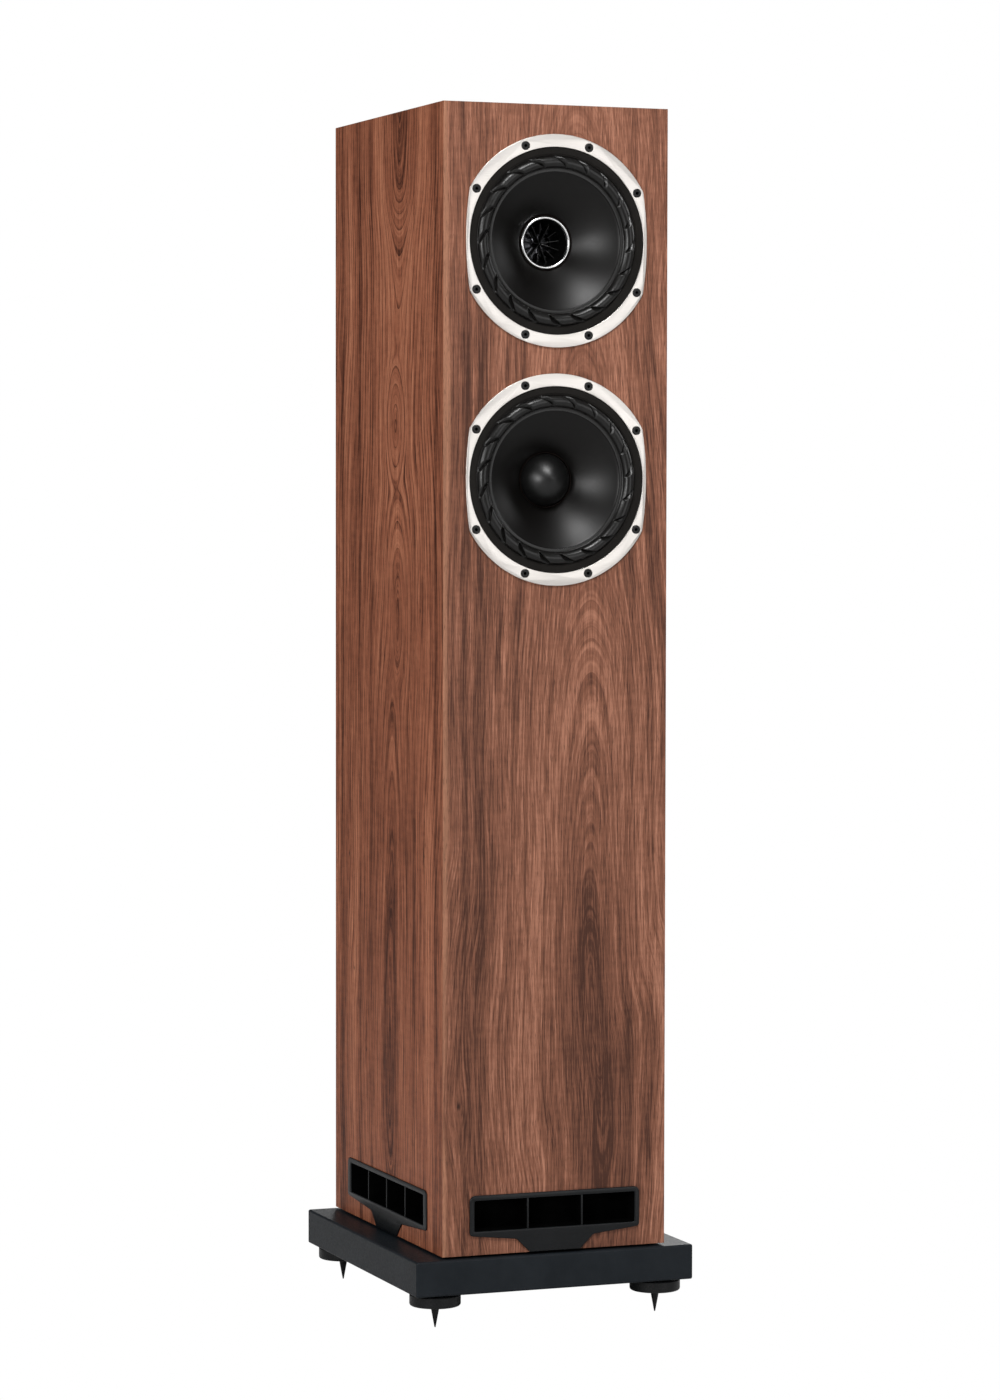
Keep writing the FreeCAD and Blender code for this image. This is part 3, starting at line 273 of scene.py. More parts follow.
def fit(piece, finish, body, *nodes, slot=None, smooth=32):
    """Gives a finished piece its material and body, and hides the nodes that it stands for."""
    dressed(piece, finish, smooth)
    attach(piece, body)
    if nodes:
        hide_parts(*nodes)
    return piece


# ---------------------------------------------------------------- materials

class Finish:
    """A material under construction: a Principled shader and short ways to add nodes before it."""

    def __init__(self, name, roughness=0.5, metallic=0.0, specular=0.5, coat=0.0, coat_roughness=0.1):
        self.material = bpy.data.materials.new(name)
        self.material.use_nodes = True
        self.tree = self.material.node_tree
        self.shader = self.tree.nodes["Principled BSDF"]
        self.shader.inputs["Roughness"].default_value = roughness
        self.shader.inputs["Metallic"].default_value = metallic
        self.shader.inputs["Specular IOR Level"].default_value = specular
        self.shader.inputs["Coat Weight"].default_value = coat
        self.shader.inputs["Coat Roughness"].default_value = coat_roughness
        self.place = self.tree.nodes.new("ShaderNodeTexCoord").outputs["Object"]

    def node(self, kind, *inputs, **settings):
        node = self.tree.nodes.new(kind)
        for key, value in settings.items():
            setattr(node, key, value)
        for socket, value in zip(node.inputs, inputs):
            self.feed(socket, value)
        return node

    def feed(self, socket, value):
        if isinstance(value, bpy.types.NodeSocket):
            self.tree.links.new(value, socket)
        elif value is not None:
            socket.default_value = value

    def math(self, operation, a, b=0.0):
        return self.node("ShaderNodeMath", a, b, operation=operation).outputs[0]

    def add(self, *values):
        total = values[0]
        for value in values[1:]:
            total = self.math("ADD", total, value)
        return total

    def times(self, a, b):
        return self.math("MULTIPLY", a, b)

    def axes(self):
        split = self.node("ShaderNodeSeparateXYZ", self.place)
        return split.outputs[0], split.outputs[1], split.outputs[2]

    def vector(self, x, y, z):
        return self.node("ShaderNodeCombineXYZ", x, y, z).outputs[0]

    def scaled(self, x, y, z):
        """Object coordinates, each axis multiplied."""
        mapping = self.node("ShaderNodeMapping", self.place)
        mapping.inputs["Scale"].default_value = (x, y, z)
        return mapping.outputs[0]

    def noise(self, where, scale=1.0, detail=2.0, roughness=0.5, distortion=0.0):
        node = self.node("ShaderNodeTexNoise")
        self.feed(node.inputs["Vector"], where)
        node.inputs["Scale"].default_value = scale
        node.inputs["Detail"].default_value = detail
        node.inputs["Roughness"].default_value = roughness
        node.inputs["Distortion"].default_value = distortion
        return node.outputs[0]

    def between(self, value, low, high, to_low=0.0, to_high=1.0, smooth=False):
        node = self.node("ShaderNodeMapRange", value, low, high, to_low, to_high)
        node.interpolation_type = "SMOOTHSTEP" if smooth else "LINEAR"
        node.clamp = True
        return node.outputs[0]

    def mix(self, factor, first, second, blend="MIX"):
        node = self.tree.nodes.new("ShaderNodeMix")
        node.data_type = "RGBA"
        node.blend_type = blend
        self.feed(node.inputs[0], factor)
        self.feed(node.inputs[6], first)
        self.feed(node.inputs[7], second)
        return node.outputs[2]

    def ramp(self, value, *stops):
        node = self.node("ShaderNodeValToRGB", value)
        elements = node.color_ramp.elements
        while len(elements) < len(stops):
            elements.new(0.5)
        for element, (at, colour) in zip(elements, stops):
            element.position = at
            element.color = colour
        return node.outputs[0]

    def curve(self, value, points, low, high):
        """A smooth curve through (value, result) points, where results lie between low and high."""
        first, last = points[0][0], points[-1][0]
        along = self.between(value, first, last)
        node = self.node("ShaderNodeFloatCurve")
        self.feed(node.inputs["Value"], along)
        curve = node.mapping.curves[0]
        for i, (at, result) in enumerate(points):
            spot = ((at - first) / (last - first), (result - low) / (high - low))
            if i == 0:
                curve.points[0].location = spot
            elif i == len(points) - 1:
                curve.points[-1].location = spot
            else:
                curve.points.new(*spot)
        node.mapping.update()
        return self.between(node.outputs[0], 0.0, 1.0, low, high)

    def bump(self, height, depth):
        node = self.tree.nodes.new("ShaderNodeBump")
        node.inputs["Strength"].default_value = 1.0
        node.inputs["Distance"].default_value = depth * MM
        self.feed(node.inputs["Height"], height)
        self.tree.links.new(node.outputs[0], self.shader.inputs["Normal"])

    def colour(self, value):
        self.feed(self.shader.inputs["Base Color"], value)

    def roughness(self, value):
        self.feed(self.shader.inputs["Roughness"], value)


def rgb(red, green, blue):
    """A colour from 0-255 display values."""
    def linear(v):
        v /= 255
        return v / 12.92 if v <= 0.04045 else ((v + 0.055) / 1.055) ** 2.4
    return linear(red), linear(green), linear(blue), 1.0


def grey(value):
    return rgb(value, value, value)


def chipboard(f):
    """Bare fibreboard's grain and colour."""
    chip = f.noise(f.scaled(700, 700, 700), 1.0, 4.0, 0.7)
    return chip, f.ramp(chip, (0.3, rgb(128, 98, 66)), (0.7, rgb(168, 134, 96)))


def satin_black(name, tone=22, roughness=0.4, grain=1.2, depth=0.02, warmth=0, specular=0.5):
    """Painted or moulded black with a fine skin texture. Warmth above 0 leans brown, below 0 blue."""
    f = Finish(name, roughness=roughness, specular=specular)
    cloud = f.noise(f.scaled(30, 30, 30), 1.0, 3.0, 0.6)
    dark = rgb(*[max(0, tone - 3 + cast) for cast in (warmth, 0, -warmth)])
    light = rgb(*[max(0, tone + 4 + cast) for cast in (warmth, 0, -warmth)])
    f.colour(f.ramp(cloud, (0.3, dark), (0.7, light)))
    skin = f.noise(f.place, grain / MM, 2.0, 0.5)
    f.roughness(f.between(skin, 0.3, 0.7, roughness - 0.05, roughness + 0.07))
    f.bump(skin, depth)
    return f.material


def brushed_metal(name, tone=(226, 222, 216), roughness=0.28, streak=0.06):
    """Aluminium with a fine straight grain from left to right."""
    f = Finish(name, metallic=1.0, roughness=roughness)
    hair = f.noise(f.scaled(60, 900, 2400), 1.0, 3.0, 0.7)
    broad = f.noise(f.scaled(12, 40, 60), 1.0, 2.0, 0.5)
    low = rgb(*[v - 12 for v in tone])
    high = rgb(*[min(255, v + 8) for v in tone])
    f.colour(f.mix(0.35, f.ramp(hair, (0.3, low), (0.7, high)), f.ramp(broad, (0.3, low), (0.7, high))))
    f.roughness(f.between(hair, 0.25, 0.75, roughness - streak, roughness + streak))
    f.bump(hair, 0.004)
    return f.material


def plain_metal(name, tone, roughness=0.3, scratch=900):
    f = Finish(name, metallic=1.0, roughness=roughness)
    wear = f.noise(f.scaled(scratch, scratch, scratch), 1.0, 3.0, 0.65)
    f.colour(f.ramp(wear, (0.25, rgb(*[v * 0.9 for v in tone])), (0.75, rgb(*tone))))
    f.roughness(f.between(wear, 0.3, 0.7, roughness * 0.8, roughness * 1.25))
    f.bump(wear, 0.003)
    return f.material


class Figure:
    """How the veneer of one face was cut: where the tree's heart ran and how deep it lay under the face."""

    def __init__(self, centre, depth, eyes=(), knots=(), streaks=(), heart=0.0, seed=0.0,
                 lines=(0.05, 0.20), dark=(70, 41, 30), mid=(124, 79, 60), light=(178, 124, 100), sap=None):
        self.centre = centre        # (height, place across) points of the heart
        self.depth = depth          # (height, depth) points of the heart
        self.eyes = eyes            # (across, height, ring value in the middle, growth per mm, stretch)
        self.knots = knots          # (across, height, radius)
        self.streaks = streaks      # (across, half-width, strength)
        self.heart = heart          # extra darkness near the heart
        self.seed = seed
        self.lines = lines          # faintest and strongest ring lines
        self.dark, self.mid, self.light = dark, mid, light
        self.sap = sap              # (edge place, fade width): paler wood beyond it


def walnut(name, across, along, inward, figure):
    """Flat-cut walnut veneer over board. Each of across, along and inward is an axis: its number, where
    it starts, and its direction."""
    f = Finish(name, roughness=0.5, specular=0.2)
    axes = f.axes()

    def measured(pick):
        number, origin, sign = pick
        return f.times(f.add(axes[number], -origin), sign / MM)

    u = measured(across)
    v = measured(along)
    seed = figure.seed

    def wander(wide, tall, amount, detail, shift):
        where = f.vector(f.times(u, 1 / wide), f.times(v, 1 / tall), seed + shift)
        return f.times(f.add(f.noise(where, 1.0, detail, 0.5), -0.5), 2 * amount)

    sway = wander(80, 300, 4.6, 1.0, 0.0)
    bend = wander(24, 90, 2.0, 1.0, 3.1)
    bent = f.add(u, sway, bend, wander(6, 40, 0.5, 1.0, 7.7))
    for place, height, radius in figure.knots:
        du = f.add(bent, -place)
        dv = f.times(f.add(v, -height), 0.3)
        far = f.add(f.times(du, du), f.times(dv, dv))
        pull = f.math("EXPONENT", f.times(far, -1 / (2 * (2.6 * radius) ** 2)))
        bent = f.math("SUBTRACT", bent, f.times(f.times(du, pull), 0.75))

    # Rings are cones round the heart, so their cuts through the face are nested arches.
    heart = f.curve(v, figure.centre, 0.0, 300.0)
    depth = f.curve(v, figure.depth, 0.0, 100.0)
    side = f.math("SUBTRACT", bent, heart)
    ring = f.math("SQRT", f.add(f.times(side, side), f.times(depth, depth)))
    for place, height, value, growth, stretch in figure.eyes:
        du = f.add(bent, -place)
        dv = f.times(f.add(v, -height), stretch)
        eye = f.add(f.times(f.math("SQRT", f.add(f.times(du, du), f.times(dv, dv))), growth), value)
        ring = f.node("ShaderNodeMath", ring, eye, 6.0, operation="SMOOTH_MIN").outputs[0]

    def bands(width, detail, rough, shift, drift=420.0):
        where = f.vector(f.times(ring, 1 / width), f.times(v, 1 / drift), seed + shift)
        return f.noise(where, 1.0, detail, rough)

    broad = bands(30, 1.0, 0.5, 11.0, 700)
    medium = bands(7.5, 2.0, 0.6, 17.0)
    fine = bands(2.0, 3.0, 0.65, 23.0, 160)
    hair = bands(0.8, 2.0, 0.6, 29.0, 60)
    tone = f.add(f.times(broad, 0.24), f.times(medium, 0.20), f.times(fine, 0.28), f.times(hair, 0.28))
    tone = f.between(tone, 0.33, 0.67)

    # A growth ring ends in a thin dark line, stronger on some rings than on others.
    saw = f.math("FRACT", f.add(f.times(ring, 1 / 5.4), f.times(medium, 1.6)))
    line = f.math("POWER", saw, 5.0)
    line = f.times(line, f.between(broad, 0.35, 0.65, *figure.lines))
    tone = f.math("SUBTRACT", tone, line)

    if figure.heart:
        near = f.between(ring, 6.0, 34.0, figure.heart, 0.0, smooth=True)
        tone = f.math("SUBTRACT", tone, near)
    for place, half, strength in figure.streaks:
        off = f.math("ABSOLUTE", f.add(bent, -place))
        tone = f.math("SUBTRACT", tone, f.between(off, 0.0, half, strength, 0.0, smooth=True))

    # Pores are short dark dashes along the grain, and the ripple is light catching wavy fibres.
    pores = f.noise(f.vector(f.times(bent, 1 / 0.45), f.times(v, 1 / 8.0), seed + 31), 1.0, 2.0, 0.7)
    pore = f.between(pores, 0.54, 0.72)
    fibre = f.noise(f.vector(f.times(bent, 1 / 1.1), f.times(v, 1 / 34.0), seed + 37), 1.0, 3.0, 0.6)
    ripple = f.noise(f.vector(f.times(u, 1 / 16.0), f.times(v, 1 / 4.5), seed + 41), 1.0, 2.0, 0.5)
    tone = f.add(tone, f.times(f.add(fibre, -0.5), 1.3), f.times(f.add(ripple, -0.5), 0.2), -0.03)

    wood = f.ramp(tone, (0.0, rgb(*figure.dark)), (0.45, rgb(*figure.mid)), (1.0, rgb(*figure.light)))
    if figure.sap:
        edge, fade = figure.sap
        pale = f.between(f.add(bent, f.times(fine, 4.0)), edge, edge + fade, 1.0, 0.0, smooth=True)
        wood = f.mix(f.times(pale, 0.5), wood, rgb(176, 126, 98))
    deep = rgb(*[c * 0.55 for c in figure.dark])
    wood = f.mix(f.times(pore, 0.62), wood, deep)
    for place, height, radius in figure.knots:
        du = f.add(u, -place)
        dv = f.times(f.add(v, -height), 0.6)
        far = f.math("SQRT", f.add(f.times(du, du), f.times(dv, dv)))
        ragged = f.add(far, f.times(fibre, radius * 0.8))
        spot = f.between(ragged, radius * 0.5, radius * 1.3, 0.85, 0.0, smooth=True)
        wood = f.mix(spot, wood, rgb(*[c * 0.5 for c in figure.dark]))
    # Behind the veneer the panel is bare board, made near black below the vent chamber's shelf: painted shade
    # for the dark inside of the chamber.
    chip, bare = chipboard(f)
    painted = f.ramp(chip, (0.3, grey(4)), (0.7, grey(9)))
    board = f.mix(f.between(axes[2], SHELF_TOP - MM, SHELF_TOP), painted, bare)
    f.colour(f.mix(f.between(measured(inward), 0.5, 0.6), wood, board))
    f.roughness(f.add(f.times(pore, 0.12), f.between(fibre, 0.3, 0.7, 0.46, 0.54)))
    f.bump(f.math("SUBTRACT", f.times(fibre, 0.25), pore), 0.05)
    return f.material


# ---------------------------------------------------------------- finishes

FRONT_FIGURE = Figure(
    centre=((0, 138), (120, 142), (200, 134), (300, 132), (470, 131), (620, 128), (800, 122), (954, 118)),
    depth=((0, 16), (120, 8), (200, 2), (300, 12), (470, 28), (560, 40), (760, 58), (954, 74)),
    eyes=((140, 158, 4, 0.8, 0.4),),
    knots=((14, 125, 3.2),),
    streaks=((20, 6, 0.20), (33, 8, 0.22), (72, 5, 0.10), (168, 6, 0.12), (186, 5, 0.12)),
    heart=0.30, seed=3.7, sap=(4.0, 4.0))
# The side figures' colours are lighter and more orange than the front's walnut: painted light, a brighter
# copy of the same veneer for the side faces.
SIDE_FIGURE = Figure(
    centre=((0, 124), (145, 130), (300, 126), (520, 121), (690, 114), (830, 106), (954, 104)),
    depth=((0, 25), (100, 5), (145, 0), (200, 5), (300, 14), (400, 22), (520, 36), (600, 50), (760, 46),
           (830, 40), (900, 14), (954, 5)),
    eyes=((115, 690, 26, 0.9, 0.4), (110, 525, 18, 0.8, 0.3)),
    knots=((55, 535, 2.4), (45, 330, 2.2), (235, 318, 3.0), (222, 218, 2.2), (190, 150, 2.2)),
    streaks=((18, 7, 0.22), (70, 6, 0.14), (176, 8, 0.16), (206, 6, 0.22), (252, 9, 0.26)),
    heart=0.22, seed=21.3, lines=(0.18, 0.55),
    dark=(60, 26, 12), mid=(147, 87, 62), light=(194, 130, 98))
# Its colours are the same brighter copy as the left side's: painted light on the side faces.
FAR_SIDE_FIGURE = Figure(
    centre=((0, 150), (260, 144), (560, 140), (954, 146)),
    depth=((0, 40), (200, 30), (420, 12), (600, 3), (760, 16), (954, 34)),
    knots=((60, 720, 2.4), (214, 410, 2.6)),
    streaks=((28, 8, 0.2), (92, 6, 0.16), (228, 8, 0.24)),
    heart=0.25, seed=47.9, lines=(0.18, 0.55),
    dark=(60, 26, 12), mid=(147, 87, 62), light=(194, 130, 98))
BACK_FIGURE = Figure(
    centre=((0, 92), (300, 96), (640, 104), (954, 100)),
    depth=((0, 6), (180, 14), (420, 24), (700, 36), (954, 52)),
    knots=((158, 640, 2.6),),
    streaks=((24, 7, 0.24), (150, 6, 0.2), (180, 7, 0.24)),
    heart=0.3, seed=63.1)
TOP_FIGURE = Figure(
    centre=((0, 96), (136, 104), (272, 98)),
    depth=((0, 22), (136, 12), (272, 30)),
    streaks=((30, 7, 0.2), (164, 7, 0.24)),
    heart=0.25, seed=82.5)

UP = (2, BASE, 1)
LEFT_TO_RIGHT = (0, CABINET_LOW.x, 1)
RIGHT_TO_LEFT = (0, CABINET_HIGH.x, -1)
FRONT_TO_BACK = (1, FRONT, 1)
veneer_front = walnut("walnut_front", LEFT_TO_RIGHT, UP, FRONT_TO_BACK, FRONT_FIGURE)
veneer_left = walnut("walnut_left", FRONT_TO_BACK, UP, LEFT_TO_RIGHT, SIDE_FIGURE)
veneer_right = walnut("walnut_right", FRONT_TO_BACK, UP, RIGHT_TO_LEFT, FAR_SIDE_FIGURE)
veneer_back = walnut("walnut_back", RIGHT_TO_LEFT, UP, (1, BACK, -1), BACK_FIGURE)
veneer_top = walnut("walnut_top", LEFT_TO_RIGHT, FRONT_TO_BACK, (2, CABINET_HIGH.z, -1), TOP_FIGURE)

trim_black = satin_black("vent_moulding", tone=15, roughness=0.32, grain=0.9, depth=0.012,
                         warmth=-2, specular=0.25)
# Near black with almost no gloss: painted shade for the inside of the vents, on the sleeves' walls, the bars'
# sides and the sheets across their inner ends.
vent_shade = satin_black("vent_painted_shade", tone=2, roughness=0.95, grain=0.9, depth=0.02, specular=0.02)
plinth_black = satin_black("plinth_lacquer", tone=31, roughness=0.36, grain=0.6, depth=0.02,
                           warmth=-4, specular=0.1)
foot_black = satin_black("foot_black", tone=17, roughness=0.32, grain=0.5, depth=0.01,
                         warmth=-1, specular=0.25)
screw_black = satin_black("blackened_screw", tone=19, roughness=0.45, grain=1.6, depth=0.01, specular=0.3)
gasket_black = satin_black("gasket_foam", tone=20, roughness=0.85, grain=0.8, depth=0.08,
                           warmth=2, specular=0.15)
rubber_black = satin_black("surround_rubber", tone=10, roughness=0.32, grain=0.9,
                           depth=0.004, warmth=1, specular=0.4)
horn_black = satin_black("horn_black", tone=4, roughness=0.3, grain=1.5, depth=0.004, specular=0.25)
frame_black = satin_black("cast_frame", tone=30, roughness=0.62, grain=0.7, depth=0.04)
plug_black = satin_black("plug_black", tone=4, roughness=0.38, grain=1.5, depth=0.004)
tube_black = satin_black("port_black", tone=14, roughness=0.6, grain=0.8, depth=0.03)
foam_black = satin_black("spacer_foam", tone=10, roughness=0.95, grain=0.8, depth=0.1, specular=0.1)
jacket_black = satin_black("cable_jacket", tone=22, roughness=0.5, grain=1.4, depth=0.02)
ferrite_grey = satin_black("ferrite", tone=52, roughness=0.8, grain=0.7, depth=0.06)
ring_silver = brushed_metal("ring_silver", tone=(224, 219, 214), roughness=0.38)
ring_bright = plain_metal("ring_bright", (236, 236, 236), roughness=0.22, scratch=40)
steel_plain = plain_metal("plated_steel", (150, 150, 154), roughness=0.35)
dome_silver = plain_metal("dome_silver", (170, 170, 176), roughness=0.3)
gold_bright = plain_metal("gold_plate", (214, 168, 82), roughness=0.2)
coil_dark = plain_metal("coil_and_former", (34, 28, 26), roughness=0.5, scratch=2600)


def cone_finish():
    """Coated fibre pulp: fine flecks in a satin black skin."""
    f = Finish("cone_fibre", roughness=0.36, specular=0.26)
    fleck = f.noise(f.scaled(900, 900, 900), 1.0, 4.0, 0.7, 0.6)
    cloud = f.noise(f.scaled(40, 40, 40), 1.0, 3.0, 0.5)
    f.colour(f.mix(0.5, f.ramp(fleck, (0.35, rgb(3, 2, 2)), (0.7, rgb(9, 7, 6))),
                   f.ramp(cloud, (0.3, rgb(4, 3, 2)), (0.7, rgb(7, 6, 5)))))
    f.roughness(f.between(fleck, 0.3, 0.7, 0.32, 0.42))
    f.bump(fleck, 0.02)
    return f.material


def board_finish():
    """Raw fibreboard, as the cabinet is inside."""
    f = Finish("bare_board", roughness=0.85, specular=0.2)
    chip, bare = chipboard(f)
    cloud = f.noise(f.scaled(30, 30, 30), 1.0, 2.0, 0.5)
    f.colour(f.mix(0.4, bare, f.ramp(cloud, (0.3, rgb(136, 106, 72)), (0.7, rgb(158, 124, 88)))))
    f.bump(chip, 0.08)
    return f.material


def cloth_finish():
    """Resin-dipped woven cloth."""
    f = Finish("spider_cloth", roughness=0.8, specular=0.25)
    x, y, z = f.axes()
    thread = 0.9 * MM
    warp = f.math("SINE", f.times(x, 2 * math.pi / thread))
    weft = f.math("SINE", f.times(z, 2 * math.pi / thread))
    weave = f.times(warp, weft)
    f.colour(f.ramp(f.between(weave, -1, 1), (0.2, rgb(150, 104, 34)), (0.8, rgb(196, 150, 70))))
    f.bump(weave, 0.08)
    return f.material


def circuit_finish():
    """Green solder mask with faint copper runs under it."""
    f = Finish("circuit_board", roughness=0.35)
    x, y, z = f.axes()
    runs = f.math("PINGPONG", f.add(z, f.times(f.noise(f.scaled(20, 20, 20)), 0.01)), 0.004)
    run = f.between(runs, 0.0016, 0.0020)
    f.colour(f.mix(run, rgb(18, 62, 38), rgb(34, 92, 54)))
    f.bump(run, 0.03)
    return f.material


def component_finish():
    """Varnished film and wound copper."""
    f = Finish("crossover_components", roughness=0.4)
    x, y, z = f.axes()
    wire = 1.2 * MM
    turns = f.math("SINE", f.times(y, 2 * math.pi / wire))
    f.colour(f.ramp(f.between(turns, -1, 1), (0.2, rgb(130, 66, 30)), (0.8, rgb(186, 104, 52))))
    f.bump(turns, 0.2)
    return f.material


def knob_finish(name, dark, light):
    f = Finish(name, roughness=0.22, coat=0.3)
    cloud = f.noise(f.scaled(300, 300, 300), 1.0, 3.0, 0.6)
    f.colour(f.ramp(cloud, (0.3, dark), (0.7, light)))
    f.roughness(f.between(cloud, 0.3, 0.7, 0.18, 0.28))
    f.bump(cloud, 0.01)
    return f.material


def wadding_finish():
    """Loose white polyester fibre."""
    f = Finish("wadding_fibre", roughness=1.0, specular=0.1)
    fibre = f.noise(f.scaled(300, 300, 900), 1.0, 5.0, 0.75, 2.0)
    f.shader.inputs["Sheen Weight"].default_value = 0.4
    f.colour(f.ramp(fibre, (0.3, grey(196)), (0.7, grey(232))))
    f.bump(fibre, 0.8)
    return f.material


cone_black = cone_finish()
board_raw = board_finish()
# Near-black board for the vent chamber's floor and shelf: painted shade for the dark inside of the chamber.
chamber_shade_board = satin_black("chamber_painted_shade", tone=7, roughness=0.9, grain=0.7, depth=0.05, specular=0.1)
spider_cloth = cloth_finish()
circuit_green = circuit_finish()
component_copper = component_finish()
knob_colours = {"black": knob_finish("knob_black", grey(14), grey(24)),
                "red": knob_finish("knob_red", rgb(132, 10, 12), rgb(168, 20, 20))}
wadding_white = wadding_finish()

KEPT = {
    "front_baffle": veneer_front, "back_panel": veneer_back, "side_panel_left": veneer_left,
    "side_panel_right": veneer_right, "top_panel": veneer_top, "bottom_panel": chamber_shade_board,
    "window_brace": board_raw, "vent_chamber_shelf": chamber_shade_board, "port_tube": tube_black,
    "plinth": plinth_black, "plinth_spacer": foam_black, "plinth_bolts": screw_black,
    "upper_basket": frame_black, "lower_basket": frame_black,
    "upper_voice_coil": coil_dark, "lower_voice_coil": coil_dark,
    "upper_spider": spider_cloth, "lower_spider": spider_cloth,
    "upper_magnet": ferrite_grey, "lower_magnet": ferrite_grey,
    "upper_pole_and_plates": steel_plain, "lower_pole_and_plates": steel_plain,
    "tweeter_dome": dome_silver, "tweeter_suspension": gasket_black, "tweeter_motor": steel_plain,
    "terminal_cup": trim_black, "terminal_cup_screws": screw_black, "binding_posts": gold_bright,
    "clamp_washer_red": gold_bright, "clamp_washer_black": gold_bright,
    "crossover_board": circuit_green, "crossover_parts": component_copper, "internal_cables": jacket_black,
}
for corner in CORNERS:
    KEPT["foot_disc_" + corner] = foot_black
    KEPT["foot_spike_" + corner] = foot_black
for node, finish in KEPT.items():
    for place in NODES[node].material_slots:
        place.material = finish


# ---------------------------------------------------------------- drivers

THROUGH = 10 * MM                   # how far a cutting tool reaches past what it cuts

RING_RADIUS = 88.0
RING_HALF_WIDTH = 80.5
RING_SIDE_RADIUS = 270.0
RING_BORE = 77.5
RING_PROUD = 1.8
RING_ROUNDING = 0.45

SCREW_CIRCLE = 82.6
SCREW_ANGLES = (30, 70, 110, 150, 210, 250, 290, 330)
SCREW_TWIST = 17                    # degrees that each screw stops further round than the last
HEAD_RADIUS = 3.6
HEAD_CLEARANCE = 0.3
HEAD_SEAT = -0.9
HEAD_TOP = -2.35
HEAD_DISH = 0.1
SHANK_RADIUS = 2.0
SHANK_END = 15.0
SOCKET_RADIUS = 1.55
SOCKET_END = 2.5

GASKET_INNER = 70.6
GASKET_STEP = 71.8
GASKET_OUTER = RING_BORE - 0.2
GASKET_LOW = -0.45
GASKET_HIGH = -0.9

FLUTES = 20
FLUTE_PHASE = {"upper": -1.5, "lower": 8.4}
FLUTE_OUTER_END = Vector((4.6, 69.2))   # distance round from the sector's middle, and radius
FLUTE_INNER_END = Vector((-6.4, 61.4))
FLUTE_RADIUS = 65.2
FLUTE_DEPTH = 2.7
FLUTE_WIDTH = 3.6
FLUTE_WALL = 0.45                   # width of the flute's steep wall
FLUTE_OVERRUN = 0.08                # how far past its ends the flute fades, as a share of its length
FLUTE_FADE = 0.30                   # share of its length in which its inner end runs out

ROLL_OUTER = 70.2
ROLL_INNER = 60.2
ROLL_HEIGHT = 4.4
ROLL_START = (60.4, -0.9)           # where the roll leaves the fillet of the cone's lip
ROLL_END = (70.0, -0.9)
ROLL_STEPS = 40
CONE_LIP = (57.5, 59.6)             # inner and outer radius of the lip glued to the cone
FRAME_LIP = (70.8, 74.2)
SECTOR_STEPS = 60
RUBBER = 0.9

CONE_EDGE = 60.8
CONE_NECK = 23.0
CONE_NECK_DEPTH = 25.0
CONE_EDGE_DEPTH = 1.0
CONE_BACK_DEPTH = 2.0

BRIGHT_RING = (19.6, 22.0)          # inner and outer radius
BRIGHT_RING_TOP = 23.5
HORN_MOUTH = 27.0
HORN_THROAT = 13.5
HORN_THROAT_DEPTH = 47.0
MOTOR_FACE = 50.0
HUB_RADIUS = 3.2
HUB_TIP = 38.0
HUB_SHOULDER = 42.0
BLADES = 13
BLADE_TURN = 9.0
BLADE_HALF = 0.4
BLADE_FRONT = 34.2
BLADE_OUTER = 20.0
LONG_BLADE, SHORT_BLADE = 1.6, 8.0  # radius of each blade's inner end
BLADE_SLOPE = 4.0 / 20.6            # how much shallower a blade's inner end is per mm of its radius
PLUG_TIP = 6.0
PLUG_RADIUS = 22.0


def driver_centre(driver):
    return Vector((0, FRONT, DRIVERS[driver]))


def screw_places(centre):
    for angle in SCREW_ANGLES:
        turn = math.radians(angle)
        yield SCREW_CIRCLE * math.cos(turn) * MM, centre.z + SCREW_CIRCLE * math.sin(turn) * MM


def ring_piece(driver):
    """A disc, narrowed by a shallow arc each side, bored out and recessed for its screws."""
    centre = driver_centre(driver)
    face = FRONT - RING_PROUD * MM
    front, back = face - THROUGH, FRONT + THROUGH
    ring = rod(driver + "_ring", RING_RADIUS, face, FRONT, 0, centre.z, sides=256)
    reach = (RING_SIDE_RADIUS - RING_HALF_WIDTH) * MM
    for side in (-1, 1):
        side_arc = rod("side_arc", RING_SIDE_RADIUS, front, back, side * reach, centre.z, sides=720)
        cut(ring, side_arc, operation="INTERSECT")
    cut(ring, rod("bore", RING_BORE, front, back, 0, centre.z, sides=256))
    bevelled(ring, RING_ROUNDING, segments=3, angle=50)
    recesses = []
    for x, z in screw_places(centre):
        recesses.append(rod("recess", HEAD_RADIUS + HEAD_CLEARANCE, front, FRONT + HEAD_SEAT * MM, x, z))
        recesses.append(rod("shank_hole", SHANK_RADIUS, front, back, x, z))
    cut(ring, *recesses)
    return fit(ring, ring_silver, "cabinet", driver + "_trim_ring", slot="satin_aluminium", smooth=40)


def screw_master():
    """A cap screw with a rolled rim and a hexagon socket, made at the frame's origin."""
    rolled_rim = ((3.35, HEAD_TOP + 0.22), (HEAD_RADIUS, HEAD_TOP + 0.8))
    points = profile((0, HEAD_TOP + HEAD_DISH), (1.9, HEAD_TOP + HEAD_DISH), (2.5, HEAD_TOP), rolled_rim,
                     (HEAD_RADIUS, HEAD_SEAT), (SHANK_RADIUS, HEAD_SEAT), (SHANK_RADIUS, SHANK_END),
                     (0, SHANK_END), arc_steps=4)
    head = lathe("screw", points, Vector((0, FRONT, 0)), steps=32)
    return cut(head, rod("socket", SOCKET_RADIUS, FRONT - THROUGH, FRONT + SOCKET_END * MM, 0, 0, sides=6))


